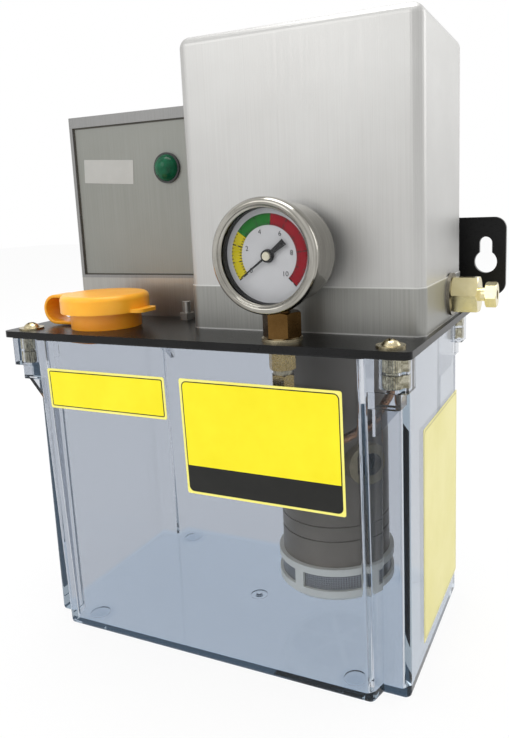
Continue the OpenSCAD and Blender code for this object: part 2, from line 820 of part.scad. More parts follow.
module deck_screws() color("darkkhaki") at_corners()
    pan_screw(deck_z1 + washer_t, screw_d, screw_l, screw_head_d, screw_head_h);

module deck_washers() color("khaki") at_corners()
    tube(deck_z1, deck_z1 + washer_t, washer_d / 2, screw_d / 2 + hole_gap);

// Lugs that stand up inside the cover's corners
module at_lugs(rear_only) {
    for (sx = [-1, 1], sy = rear_only ? [1] : [-1, 1])
        translate([box_cx + sx * (cover_w / 2 - cover_t - box_edge_r - lug_l / 2),
                   box_cy + sy * (cover_d / 2 - cover_t - lug_gap - lug_d / 2), base_z1]) children();
}

module base_block() color("silver") difference() {
    union() {
        translate([0, 0, deck_z1]) linear_extrude(base_h)
            rounded_rect(box_x0, box_x1, box_y0, box_y1, box_edge_r);
        at_lugs(false) translate([-lug_l / 2, -lug_d / 2, 0]) cube([lug_l, lug_d, lug_h]);
    }
    at_corners() translate([0, 0, deck_z1 - cut])
        cylinder(h = washer_t + screw_head_h + hole_gap + cut, r = washer_d / 2 + hole_gap);
    translate([pump_x, pump_y, deck_z1 - cut]) cylinder(h = base_h + 2 * cut, r = chamber_r);
    around_pump(clamp_pcd_r, 4, 45) translate([0, 0, deck_z1 - cut])
        cylinder(h = base_h + 2 * cut, r = screw_d / 2 + hole_gap);
    around_pump(clamp_pcd_r, 4, 45) translate([0, 0, base_z1 - clamp_sink])
        cylinder(h = clamp_sink + cut, r = screw_d);
    around_pump(motor_screw_r, 4, 0) translate([0, 0, base_z1 - motor_screw_grip - motor_hole_spare])
        cylinder(h = motor_screw_grip + motor_hole_spare + cut, r = motor_screw_d / 2 + fit_gap);
    at_lugs(true) translate([0, 0, lug_h / 2]) rotate([90, 0, 0])
        cylinder(h = 2 * lug_d, r = cover_screw_d / 2 + fit_gap, center = true);
    translate([union_x, union_y, deck_z1 - cut]) cylinder(h = union_shank_l - deck_t + cut + fit_gap,
                                                          r = union_shank_r + fit_gap);
    translate([union_x, union_y, deck_z1]) cylinder(h = outlet_up, r = gallery_r);
    in_outlet() translate([0, 0, -outlet_shank_l - fit_gap])
        cylinder(h = outlet_shank_l + fit_gap + cut, r = outlet_shank_r + fit_gap);
    translate([union_x, union_y, outlet_z]) rotate([0, 90, 0]) cylinder(h = box_x1 - union_x, r = gallery_r);
}

// Box with rounded upright and top edges, open to cutting at its foot
module soft_box(w, d, h, r) {
    hull() for (x = [-1, 1], y = [-1, 1]) {
        translate([x * (w / 2 - r), y * (d / 2 - r), h - r]) sphere(r, $fn = 32);
        translate([x * (w / 2 - r), y * (d / 2 - r), 0]) cylinder(h = h / 2, r = r, $fn = 32);
    }
}

module motor_cover() color("lightgray") difference() {
    translate([box_cx, box_cy, base_z1]) soft_box(cover_w, cover_d, box_z1 - base_z1, box_edge_r);
    translate([box_cx, box_cy, base_z1 - cut]) soft_box(cover_w - 2 * cover_t, cover_d - 2 * cover_t,
        box_z1 - base_z1 + cut - cover_t, box_edge_r - cover_t);
    at_lugs(true) translate([0, lug_d / 2, lug_h / 2]) rotate([-90, 0, 0])
        cylinder(h = 4 * cover_t, r = cover_screw_d / 2 + hole_gap);
}

module cover_screws() color("gainsboro") at_lugs(true)
    translate([0, lug_d / 2 + lug_gap + cover_t, lug_h / 2]) rotate([-90, 0, 0])
        pan_screw(0, cover_screw_d, lug_d - cover_screw_spare, cover_screw_head_d, cover_screw_head_h);

// Cup that carries one motor bearing, floor down
module bell() {
    difference() {
        union() {
            cylinder(h = bell_floor, r = motor_r);
            cylinder(h = bell_floor + bearing_w, r = bearing_boss_r);
            tube(0, bell_h, motor_r, motor_r - bell_wall);
        }
        translate([0, 0, bell_floor]) cylinder(h = bearing_w + cut, r = bearing_r + fit_gap);
        translate([0, 0, -cut]) cylinder(h = bell_floor + 2 * cut, r = bearing_r - bearing_seat);
    }
}

module lower_bell() color("gray") difference() {
    translate([pump_x, pump_y, base_z1]) bell();
    around_pump(motor_screw_r, 4, 0) translate([0, 0, base_z1 - cut])
        cylinder(h = bell_floor + 2 * cut, r = motor_screw_d / 2 + hole_gap);
}

module upper_bell() color("gray") translate([pump_x, pump_y, bell_top_z]) mirror([0, 0, 1]) bell();

module stator() color("slategray") translate([pump_x, pump_y, 0]) difference() {
    tube(stator_z0, stator_z1, motor_r, stator_bore_r);
    for (i = [0 : 11]) rotate(i * 30) translate([stator_bore_r + slot_lip, -slot_w / 2, stator_z0 - cut])
        cube([slot_l, slot_w, stator_l + 2 * cut]);
}

module windings() color("chocolate") translate([pump_x, pump_y, 0]) {
    tube(stator_z0 - winding_h, stator_z0, motor_r - bell_wall - slot_lip, stator_bore_r + slot_lip);
    tube(stator_z1, stator_z1 + winding_h, motor_r - bell_wall - slot_lip, stator_bore_r + slot_lip);
}

module motor_screws() color("gainsboro") around_pump(motor_screw_r, 4, 0)
    pan_screw(base_z1 + bell_floor, motor_screw_d, bell_floor + motor_screw_grip,
              motor_screw_head_d, motor_screw_head_h);

module motor_bearings() color("lightsteelblue") translate([pump_x, pump_y, 0])
    for (z = [lower_bearing_z, upper_bearing_z])
        tube(z, z + bearing_w, bearing_r, shaft_r + run_gap);

module rotor() color("dimgray") translate([pump_x, pump_y, 0])
    tube(stator_z0 - rotor_spare, stator_z1 + rotor_spare, rotor_r, shaft_r + fit_gap);

module motor_shaft() color("silver") translate([pump_x, pump_y, shaft_joint_z + shaft_joint_gap / 2])
    cylinder(h = upper_bearing_z + bearing_w - shaft_joint_z - shaft_joint_gap / 2, r = shaft_r);

module coupling() color("darkgray") translate([pump_x, pump_y, 0])
    tube(coupling_z0, coupling_z0 + coupling_l, coupling_r, shaft_r + fit_gap);

module clamp_bolts() color("gainsboro") around_pump(clamp_pcd_r, 4, 45) difference() {
    union() {
        translate([0, 0, deck_z0 - clamp_thread_l])
            cylinder(h = clamp_thread_l + deck_t + base_h - clamp_sink, d = screw_d);
        translate([0, 0, base_z1 - clamp_sink]) cylinder(h = screw_d, r = screw_d - 3 * hole_gap);
    }
    translate([0, 0, base_z1 - clamp_sink + screw_d / 2]) cylinder(h = screw_d, d = screw_d * 0.9, $fn = 6);
}

// Radial frame on the column at an angle and height: z runs outwards from the column's face
module on_column(angle, z) {
    translate([pump_x, pump_y, z]) rotate(angle) translate([column_r, 0, 0]) rotate([0, 90, 0]) children();
}

module pump_column() color("#55565a") difference() {
    translate([pump_x, pump_y, gear_z1]) difference() {
        cylinder(h = deck_z0 - gear_z1, r = column_r);
        tube(-cut, groove, column_r + cut, column_r - groove);
        translate([0, 0, -cut]) cylinder(h = deck_z0 - gear_z1 + 2 * cut, r = bush_r + fit_gap);
        translate([0, 0, deck_z0 - gear_z1 - seal_h]) cylinder(h = seal_h + cut, r = seal_r + fit_gap);
        translate([0, -gear_centres, -cut]) cylinder(h = idler_sink + cut, r = idler_r + fit_gap);
    }
    around_pump(clamp_pcd_r, 4, 45) translate([0, 0, deck_z0 - clamp_thread_l - clamp_hole_spare])
        cylinder(h = clamp_thread_l + clamp_hole_spare + cut, r = screw_d / 2 + fit_gap);
    around_pump(pump_bolt_r, 4, 45) translate([0, 0, gear_z1 - cut])
        cylinder(h = pump_bolt_sink + pump_bolt_spare + cut, r = pump_bolt_d / 2 + fit_gap);
    on_column(plug_angle, plug_z) translate([0, 0, -plug_shank_l - plug_passage])
        cylinder(h = plug_shank_l + plug_passage + cut, r = plug_shank_r + fit_gap);
    on_column(plug_angle, plug_z) translate([0, 0, -plug_seat])
        cylinder(h = plug_seat + plug_head, r = plug_d / 2 + fit_gap);
    on_column(discharge_angle, discharge_z) pipe_port();
    on_column(-90, gauge_line_z) pipe_port();
}

// Port that takes a pipe's end and seats its nut
module pipe_port() {
    translate([0, 0, -pipe_sink - pipe_port_spare])
        cylinder(h = pipe_sink + pipe_port_spare + cut, r = pipe_r + fit_gap);
    translate([0, 0, -pipe_nut_seat]) cylinder(h = pipe_nut_seat + pipe_nut_l, r = pipe_nut_r + fit_gap);
}

module shaft_seal() color("#222222") translate([pump_x, pump_y, 0])
    tube(deck_z0 - seal_h, deck_z0, seal_r, shaft_r + run_gap);

module shaft_bushes() color("peru") translate([pump_x, pump_y, 0]) {
    tube(deck_z0 - seal_h - bush_l, deck_z0 - seal_h, bush_r, shaft_r + run_gap);
    tube(gear_z1 + gear_side_gap, gear_z1 + bush_l, bush_r, shaft_r + run_gap);
}

module pump_shaft() color("silver") translate([pump_x, pump_y, end_z1 - shaft_tail])
    cylinder(h = shaft_joint_z - shaft_joint_gap / 2 - end_z1 + shaft_tail, r = shaft_r);

module gear_plate() color("#4a4b4f") translate([pump_x, pump_y, 0]) difference() {
    translate([0, 0, end_z1]) cylinder(h = gear_t, r = column_r);
    for (y = [0, -gear_centres]) translate([0, y, end_z1 - cut])
        cylinder(h = gear_t + 2 * cut, r = gear_pocket_r);
    for (i = [0 : 3]) rotate(45 + 90 * i) translate([pump_bolt_r, 0, end_z1 - cut])
        cylinder(h = gear_t + 2 * cut, r = pump_bolt_d / 2 + hole_gap);
}

// Involute gear outline with a tooth centred on +X
function involute(a) = tan(a) - a * PI / 180;
function half_tooth(r) = 90 / gear_teeth - backlash / gear_pitch_r * 90 / PI
    + (involute(pressure_angle) - involute(acos(min(gear_base_r / r, 1)))) * 180 / PI;
function polar(r, a) = [r * cos(a), r * sin(a)];
module gear_outline() {
    flank_r = max(gear_base_r, gear_root_r);
    radii = [for (i = [0 : 5]) flank_r + i * (gear_tip_r - flank_r) / 5];
    polygon([for (t = [0 : gear_teeth - 1]) let (a = t * 360 / gear_teeth) each concat(
        [polar(gear_root_r, a - half_tooth(radii[0]))],
        [for (r = radii) polar(r, a - half_tooth(r))],
        [for (i = [5 : -1 : 0]) polar(radii[i], a + half_tooth(radii[i]))],
        [polar(gear_root_r, a + half_tooth(radii[0]))])]);
}

module pump_gear(bore_r) {
    translate([0, 0, end_z1 + gear_side_gap]) difference() {
        linear_extrude(gear_t - 2 * gear_side_gap) gear_outline();
        translate([0, 0, -cut]) cylinder(h = gear_t + 2 * cut, r = bore_r);
    }
}

module drive_gear() color("steelblue") translate([pump_x, pump_y, 0]) rotate(-90) pump_gear(shaft_r + fit_gap);

module driven_gear() color("cadetblue") translate([pump_x, pump_y - gear_centres, 0])
    rotate(90 + 180 / gear_teeth) pump_gear(idler_r + run_gap);

module idler_pin() color("silver") translate([pump_x, pump_y - gear_centres, end_z1 - idler_sink])
    cylinder(h = gear_t + 2 * idler_sink, r = idler_r);

module end_cover() color("#5d5e62") translate([pump_x, pump_y, 0]) difference() {
    translate([0, 0, end_z0]) cylinder(h = end_cover_t, r = column_r);
    tube(end_z1 - groove, end_z1 + cut, column_r + cut, column_r - groove);
    translate([0, 0, end_z1 - shaft_tail - shaft_tail_spare])
        cylinder(h = shaft_tail + shaft_tail_spare + cut, r = shaft_r + run_gap);
    translate([0, -gear_centres, end_z1 - idler_sink - fit_gap])
        cylinder(h = idler_sink + fit_gap + cut, r = idler_r + fit_gap);
    translate([suction_x, -gear_centres / 2, end_z0 - cut]) cylinder(h = end_cover_t + 2 * cut, r = suction_r);
    for (i = [0 : 3]) rotate(45 + 90 * i) translate([pump_bolt_r, 0, end_z0 - cut])
        cylinder(h = end_cover_t + 2 * cut, r = pump_bolt_d / 2 + hole_gap);
}

module pump_bolts() color("gainsboro") around_pump(pump_bolt_r, 4, 45) {
    translate([0, 0, end_z0]) cylinder(h = end_cover_t + gear_t + pump_bolt_sink, d = pump_bolt_d);
    translate([0, 0, end_z0 - pump_bolt_head_h]) cylinder(h = pump_bolt_head_h, d = pump_bolt_head_d, $fn = 6);
}

module strainer_cage() color("whitesmoke") translate([pump_x, pump_y, 0]) {
    window_z0 = cage_z0 + cage_ring;
    window_z1 = end_z0 - cage_head;
    ledge_z = end_z0 - cage_ledge_t;
    floor_r = cage_lap_r - cage_rim;
    window_a = 360 / cage_windows - 2 * asin(cage_post_w / cage_d);
    difference() {
        rotate_extrude() polygon([[floor_r, cage_z0], [cage_r - cage_foot_r, cage_z0],
            [cage_r, cage_z0 + cage_foot_r], [cage_r, cage_z1], [cage_lap_r, cage_z1], [cage_lap_r, end_z0],
            [cage_lap_r - cage_ledge, end_z0], [cage_lap_r - cage_ledge, ledge_z], [cage_inner_r, ledge_z],
            [cage_inner_r, cage_z0 + cage_floor], [floor_r, cage_z0 + cage_floor]]);
        for (i = [0 : cage_windows - 1]) translate([0, 0, window_z0])
            rotate(cage_turn + i * 360 / cage_windows + asin(cage_post_w / cage_d))
                rotate_extrude(angle = window_a) translate([cage_inner_r - cut, 0])
                    square([cage_wall + 2 * cut, window_z1 - window_z0]);
    }
    translate([0, 0, cage_z0 + cage_bar_set]) linear_extrude(cage_floor - 2 * cage_bar_set)
        for (i = [0 : 2]) rotate(i * 60) square([2 * (floor_r + cut), cage_bar_w], center = true);
}

module strainer_mesh() color("darkgray") translate([pump_x, pump_y, 0]) {
    r = cage_inner_r - fit_gap;
    tube(cage_z0 + cage_floor, end_z0 - cage_ledge_t, r, r - mesh_t);
    translate([0, 0, cage_z0 + cage_floor]) cylinder(h = mesh_t, r = r - mesh_t);
}

module port_plug() color("#8a8578") on_column(plug_angle, plug_z) difference() {
    union() {
        translate([0, 0, -plug_seat]) cylinder(h = plug_head + plug_seat, r = plug_d / 2);
        translate([0, 0, -plug_shank_l]) cylinder(h = plug_shank_l, r = plug_shank_r);
    }
    translate([0, 0, plug_head - plug_socket_l]) cylinder(h = plug_socket_l + cut, r = plug_socket_r);
}

// The discharge pipe runs from the column's port up to the fitting under the deck
discharge_out = [cos(discharge_angle), sin(discharge_angle), 0];
discharge_port = [pump_x, pump_y, discharge_z] + column_r * discharge_out;
union_foot = [union_x, union_y, deck_z0 - union_hex_l];
module discharge_pipe() color("#c0673a") {
    start = discharge_port - pipe_sink * discharge_out;
    leave = discharge_port + (pipe_nut_l + pipe_lead) * discharge_out;
    arrive = union_foot - [0, 0, pipe_nut_l + pipe_lead];
    path = concat([start], bezier(leave, leave + discharge_reach * discharge_out + discharge_swing,
                                  arrive + discharge_rise, arrive, 14),
                  [union_foot + [0, 0, pipe_sink - pipe_lead]]);
    swept_pipe(path, pipe_r, [0, 0.3, 1]);
}

// The gauge line runs from the column's front port to the gauge's stem
gauge_port = [pump_x, pump_y - column_r, gauge_line_z];
stem_foot = [gauge_x, gauge_y, deck_z0 - gauge_nut_l - stem_tail];
module gauge_line() color("#c0673a") {
    out = [0, -1, 0];
    leave = gauge_port + (pipe_nut_l + pipe_lead) * out;
    arrive = stem_foot - [0, 0, pipe_nut_l + pipe_lead];
    path = concat([gauge_port - pipe_sink * out], bezier(leave, leave + gauge_line_reach * out,
                                                             arrive - [0, 0, gauge_line_reach], arrive, 12),
                  [stem_foot + [0, 0, pipe_sink - pipe_lead]]);
    swept_pipe(path, pipe_r, [1, 0.1, 0.2]);
}

module pipe_nuts() color("goldenrod") {
    bore = pipe_r + fit_gap;
    on_column(discharge_angle, discharge_z) hex_nut(-pipe_nut_seat, pipe_nut_l, pipe_nut_r, bore);
    on_column(-90, gauge_line_z) hex_nut(-pipe_nut_seat, pipe_nut_l, pipe_nut_r, bore);
    translate(union_foot) hex_nut(-pipe_nut_l, 0, pipe_nut_r, bore);
    translate(stem_foot) hex_nut(-pipe_nut_l, 0, pipe_nut_r, bore);
}

module bulkhead_fitting() color("goldenrod") translate([union_x, union_y, deck_z0]) difference() {
    union() {
        translate([0, 0, -union_hex_l]) hex_bar(union_hex_l, union_hex_r);
        cylinder(h = union_shank_l, r = union_shank_r);
    }
    translate([0, 0, -union_hex_l - cut]) cylinder(h = union_hex_l + union_shank_l + 2 * cut, r = gallery_r);
    translate([0, 0, -union_hex_l - cut]) cylinder(h = pipe_sink + cut, r = pipe_r + fit_gap);
}

// Block at the stem's top, inside the case
module stem_head() {
    z0 = gauge_z - gauge_case_d / 2 + 3;
    translate([-stem_block / 2, -stem_block / 2, z0])
        cube([stem_block, stem_block, gauge_z - bourdon_r + bourdon_w - z0]);
}

module gauge_stem() color("peru") translate([gauge_x, gauge_y, 0]) difference() {
    hex_top = gauge_z - bezel_d / 2 - air_gap;
    union() {
        tube(deck_z1, deck_z1 + stem_washer_t, stem_d / 2 + 0.4, stem_thread_d / 4);
        translate([0, 0, deck_z1 + stem_washer_t]) rotate(stem_turn)
            hex_bar(hex_top - deck_z1 - stem_washer_t, stem_d / 2);
        translate([0, 0, hex_top]) cylinder(h = gauge_z - gauge_case_d / 2 + 4 - hex_top, r = stem_neck_r);
        stem_head();
        translate([0, 0, stem_foot[2]]) cylinder(h = deck_z1 - stem_foot[2] + cut, r = stem_thread_d / 2);
    }
    translate([0, 0, stem_foot[2] - cut]) cylinder(h = gauge_z - stem_foot[2] - bourdon_r - 2, r = 1.2);
    translate([0, 0, stem_foot[2] - cut]) cylinder(h = pipe_sink + cut, r = pipe_r + fit_gap);
}

module gauge_nut() color("darkgoldenrod") translate([gauge_x, gauge_y, 0]) rotate(8)
    hex_nut(deck_z0 - gauge_nut_l, deck_z0, gauge_nut_r, stem_thread_d / 2 + fit_gap);

module gauge_case() color("gainsboro") difference() {
    in_gauge() difference() {
        cylinder(h = gauge_case_l, d = gauge_case_d);
        translate([0, 0, gauge_case_t]) cylinder(h = gauge_case_l, r = gauge_case_d / 2 - gauge_case_t);
    }
    translate([gauge_x, gauge_y, gauge_z - gauge_case_d / 2 - cut]) cylinder(h = 8, r = stem_neck_r + fit_gap);
}

module gauge_bezel() color("white") in_gauge() rotate_extrude() difference() {
    front_r = (bezel_d - window_d) / 4;
    rim_x = bezel_d / 2 - front_r;
    union() {
        translate([gauge_case_d / 2 + fit_gap, gauge_l - bezel_lap - bezel_skirt])
            square([bezel_d / 2 - gauge_case_d / 2 - fit_gap - bezel_step, bezel_skirt + cut]);
        translate([rim_x, gauge_l - front_r]) circle(front_r);
        translate([rim_x, gauge_l - bezel_lap]) square([front_r, bezel_lap - front_r]);
        translate([window_d / 2, gauge_l - bezel_lap]) square([rim_x - window_d / 2, bezel_lap - bezel_lip]);
    }
    translate([0, gauge_l - bezel_lap - bezel_skirt - cut])
        square([gauge_case_d / 2 + fit_gap, bezel_lap + bezel_skirt + cut - bezel_seat]);
}

module gauge_seal() color("#18181a") in_gauge() rotate_extrude() difference() {
    translate([window_d / 2, dial_z + dial_t])
        square([gauge_case_d / 2 - window_d / 2, glass_z - dial_z - dial_t]);
    translate([gauge_case_d / 2 - gauge_case_t - fit_gap, dial_z]) square([5, gauge_case_l - dial_z + fit_gap]);
}

module gauge_glass() color([0.9, 0.95, 1, 0.3]) in_gauge() translate([0, 0, glass_z])
    cylinder(h = glass_t, r = gauge_case_d / 2);

module gauge_dial() color("white") in_gauge() translate([0, 0, dial_z]) difference() {
    cylinder(h = dial_t, r = gauge_case_d / 2 - gauge_case_t - fit_gap);
    translate([0, 0, -cut]) cylinder(h = dial_t + 2 * cut, r = arbor_r + 0.3);
}

module gauge_pointer() color("black") in_gauge() {
    half = [[-pointer_tail, pointer_tail_w / 2], [-pointer_neck, pointer_neck_w / 2], [0, pointer_root_w / 2],
            [pointer_l, pointer_tip_w / 2]];
    translate([0, 0, dial_z - arbor_l]) cylinder(h = pointer_z - dial_z + arbor_l, r = arbor_r);
    translate([0, 0, pointer_z]) cylinder(h = pointer_t + hub_rise, r = hub_r);
    translate([0, 0, pointer_z]) rotate(zero_angle) linear_extrude(pointer_t)
        polygon(concat([for (p = half) [p[0], -p[1]]], [for (i = [len(half) - 1 : -1 : 0]) half[i]]));
}

module bourdon_tube() color("goldenrod") difference() {
    in_gauge() translate([0, 0, gauge_l - stem_set - bourdon_h / 2]) rotate(-90) rotate_extrude(angle = 290)
        translate([bourdon_r - bourdon_w / 2, 0]) square([bourdon_w, bourdon_h]);
    translate([gauge_x, gauge_y, 0]) stem_head();
}

module gauge_movement() color("khaki") in_gauge() {
    plate_z = dial_z - movement_set;
    tube(plate_z, plate_z + movement_t, movement_r, arbor_r + run_gap);
    for (x = [-1, 1]) translate([x * movement_post_x, movement_post_z, gauge_case_t])
        cylinder(h = plate_z - gauge_case_t, r = movement_post_r);
}

module outlet_body() color("goldenrod") in_outlet() difference() {
    union() {
        translate([0, 0, -outlet_shank_l]) cylinder(h = outlet_shank_l + outlet_washer_t, r = outlet_shank_r);
        translate([0, 0, outlet_washer_t]) rotate(outlet_turn) hex_bar(outlet_hex_l, outlet_hex_d / 2);
    }
    translate([0, 0, -outlet_shank_l - cut]) cylinder(h = outlet_l, r = gallery_r);
    translate([0, 0, sleeve_x - box_x1])
        cylinder(h = sleeve_l + outlet_nut_sink + cut, r = outlet_neck_r + fit_gap);
}

module outlet_washer() color("silver") in_outlet()
    tube(0, outlet_washer_t, outlet_washer_d / 2, outlet_shank_r + fit_gap);

// Hexagonal nut whose shank screws into the body and presses the sleeve on to the tube
module outlet_nut() color("goldenrod") in_outlet() difference() {
    shank_x = sleeve_x + sleeve_l - box_x1;
    union() {
        translate([0, 0, outlet_nut_x - box_x1]) rotate(outlet_nut_turn)
            hex_bar(outlet_nut_l, outlet_nut_d / 2);
        translate([0, 0, shank_x]) cylinder(h = outlet_nut_sink + outlet_neck_l + cut, r = outlet_neck_r);
    }
    translate([0, 0, shank_x - cut]) cylinder(h = outlet_l, r = tube_d / 2 + fit_gap);
}

module outlet_sleeve() color("khaki") in_outlet()
    tube(sleeve_x - box_x1, sleeve_x - box_x1 + sleeve_l, tube_d / 2 + sleeve_t, tube_d / 2 + fit_gap);

// Earth stud on the deck between the two boxes
module at_earth_stud() { translate([control_x1 - stud_inset, control_y0 - stud_set, 0]) children(); }

module control_base() color("silver") {
    difference() {
        translate([0, 0, deck_z1]) linear_extrude(base_h)
            rounded_rect(control_x0, control_x1, control_y0, control_y1, control_edge_r);
        translate([control_x0 + sheet_t, control_y0 + sheet_t, deck_z1 + sheet_t])
            cube([control_x1 - control_x0 - 2 * sheet_t, control_y1 - control_y0 - 2 * sheet_t, base_h]);
        at_corners() translate([0, 0, deck_z1 - cut])
            cylinder(h = sheet_t + 2 * cut, r = washer_d / 2 + hole_gap);
    }
    at_earth_stud() {
        translate([0, 0, deck_z0]) cylinder(h = deck_t + stud_l, r = stud_r);
        translate([0, 0, deck_z1]) cylinder(h = stud_nut_h, r = stud_r * 1.9, $fn = 6);
    }
}

module control_housing() color("lightgray") difference() {
    translate([0, 0, base_z1]) linear_extrude(control_z1 - base_z1)
        rounded_rect(control_x0, control_x1, control_y0, control_y1, control_edge_r);
    translate([control_x0 + sheet_t, control_y0 + sheet_t, base_z1 - cut])
        cube([control_x1 - control_x0 - 2 * sheet_t, control_y1 - control_y0 - 2 * sheet_t,
              control_z1 - base_z1 - sheet_t + cut]);
    translate([control_x0 + frame_side, control_y0 - cut, base_z1 + frame_foot])
        cube([control_x1 - control_x0 - 2 * frame_side, sheet_t + 2 * cut,
              control_z1 - base_z1 - frame_foot - frame_top]);
    translate([control_x0 - cut, gland_y, gland_z]) rotate([0, 90, 0])
        cylinder(h = sheet_t + 2 * cut, r = gland_r + hole_gap);
}

module control_panel() color("silver") difference() {
    translate([control_x0 + sheet_t + panel_gap, control_y0 + sheet_t, base_z1])
        cube([control_x1 - control_x0 - 2 * sheet_t - 2 * panel_gap, panel_t,
              control_z1 - base_z1 - sheet_t - panel_gap]);
    translate([lamp_x, control_y0, lamp_z]) rotate([-90, 0, 0])
        cylinder(h = 10, r = lamp_stem_r + fit_gap);
}

// Local frame of the lamp: z runs forward from the panel's face
module in_lamp() { translate([lamp_x, control_y0 + sheet_t, lamp_z]) rotate([90, 0, 0]) children(); }

module lamp_lens() color("green") in_lamp() {
    dome = (lamp_proud * lamp_proud + lamp_r * lamp_r) / (2 * lamp_proud);
    translate([0, 0, lamp_rim_t]) rotate_extrude() intersection() {
        translate([0, lamp_proud - dome]) circle(dome);
        square([lamp_r, lamp_proud]);
    }
}

module lamp_body() color("#202020") in_lamp() {
    cylinder(h = lamp_rim_t, r = lamp_r + lamp_rim_w);
    translate([0, 0, -lamp_stem_l]) cylinder(h = lamp_stem_l, r = lamp_stem_r);
    hex_nut(-panel_t - lamp_nut_h, -panel_t, lamp_r + lamp_nut_w, lamp_stem_r - nut_bite);
}

module circuit_board() color("darkgreen") {
    cx = (control_x0 + control_x1) / 2;
    y1 = control_y1 - sheet_t;
    z0 = base_z1 + board_up;
    for (x = [-1, 1], z = [board_post_inset, board_h - board_post_inset])
        translate([cx + x * (board_w / 2 - board_post_inset), y1, z0 + z]) rotate([90, 0, 0])
            cylinder(h = board_post_l, r = board_post_r);
    translate([cx - board_w / 2, y1 - board_post_l - board_t, z0]) cube([board_w, board_t, board_h]);
    for (p = board_parts)
        translate([cx + p[0], y1 - board_post_l - board_t - p[4], z0 + p[1]]) cube([p[2], p[4], p[3]]);
}

module cable_gland() color("#26272a") translate([control_x0, gland_y, gland_z]) rotate([0, -90, 0])
difference() {
    union() {
        translate([0, 0, -sheet_t - gland_tail]) cylinder(h = sheet_t + gland_tail, r = gland_r);
        hex_bar(gland_hex_l, gland_hex_r);
        translate([0, 0, gland_hex_l]) cylinder(h = gland_dome_l, r1 = gland_dome_r, r2 = gland_lip_r);
        translate([0, 0, gland_hex_l + gland_dome_l])
            cylinder(h = gland_lip_l, r1 = gland_lip_r, r2 = gland_mouth_r);
        hex_nut(-sheet_t - gland_nut_l, -sheet_t, gland_hex_r, gland_r - nut_bite);
    }
    translate([0, 0, -sheet_t - gland_tail - cut])
        cylinder(h = sheet_t + gland_tail + gland_hex_l + gland_dome_l + gland_lip_l + 2 * cut, r = cord_r);
}

module filler_neck() color("orange") translate([filler_x, filler_y, 0]) {
    difference() {
        union() {
            translate([0, 0, deck_z1]) cylinder(h = neck_h, r = neck_r);
            translate([0, 0, deck_z1 + neck_h - neck_bead_h]) cylinder(h = neck_bead_h, r = neck_bead_r);
            translate([0, 0, deck_z0 - neck_drop]) cylinder(h = neck_drop + deck_t + cut, r = neck_foot_r);
        }
        translate([0, 0, deck_z0 - neck_drop - cut])
            cylinder(h = neck_drop + deck_t + neck_h + 2 * cut, r = neck_bore_r);
    }
    tube(deck_z0 - ring_nut_h, deck_z0, ring_nut_r, neck_foot_r - nut_bite);
}

module filler_cap() color("orange") translate([filler_x, filler_y, 0]) {
    difference() {
        rotate_extrude() {
            translate([0, cap_z0]) square([cap_r, cap_h - cap_edge_r]);
            translate([0, cap_z0]) square([cap_r - cap_edge_r, cap_h]);
            translate([cap_r - cap_edge_r, cap_z1 - cap_edge_r]) circle(cap_edge_r);
        }
        translate([0, 0, cap_z0 - cut]) cylinder(h = cap_h - cap_t + cut, r = cap_r - cap_t);
    }
    translate([0, 0, cap_z0]) difference() {
        linear_extrude(tab_t) rounded_rect(0, cap_r + tab_reach, -tab_w / 2, tab_w / 2, tab_edge_r);
        translate([0, 0, -cut]) cylinder(h = tab_t + 2 * cut, r = cap_r - tab_root);
    }
}

// Moulded loop that ties the cap to the neck
module cap_strap() color("orange") translate([0, filler_y, 0]) {
    cap_side = filler_x - cap_r - strap_gap;
    neck_side = filler_x - neck_r;
    translate([strap_x, 0, strap_z]) rotate([90, 0, 0]) translate([0, 0, -strap_w / 2]) rotate(90)
        rotate_extrude(angle = 180) translate([strap_loop_r - strap_t, 0]) square([strap_t, strap_w]);
    translate([strap_x, -strap_w / 2, strap_z + strap_loop_r - strap_t])
        cube([cap_side - strap_x, strap_w, strap_t]);
    translate([strap_x, -strap_w / 2, strap_z - strap_loop_r])
        difference() {
            cube([filler_x - strap_x, strap_w, strap_t]);
            translate([filler_x - strap_x, strap_w / 2, -cut]) cylinder(h = 10, r = filler_x - neck_side);
        }
}

tank();
thread_inserts();
deck_gasket();
deck_plate();
deck_screws();
deck_washers();
base_block();
motor_cover();
cover_screws();
lower_bell();
upper_bell();
stator();
windings();
motor_screws();
motor_bearings();
rotor();
motor_shaft();
coupling();
clamp_bolts();
pump_column();
shaft_seal();
shaft_bushes();
pump_shaft();
gear_plate();
drive_gear();
driven_gear();
idler_pin();
end_cover();
pump_bolts();
strainer_cage();
strainer_mesh();
port_plug();
discharge_pipe();
gauge_line();
pipe_nuts();
bulkhead_fitting();
gauge_stem();
gauge_nut();
gauge_case();
gauge_bezel();
gauge_seal();
gauge_glass();
gauge_dial();
gauge_pointer();
bourdon_tube();
gauge_movement();
outlet_body();
outlet_washer();
outlet_nut();
outlet_sleeve();
control_base();
control_housing();
control_panel();
lamp_lens();
lamp_body();
circuit_board();
cable_gland();
filler_neck();
filler_cap();
cap_strap();
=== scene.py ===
import math

import bmesh
import bpy
from mathutils import Matrix, Vector


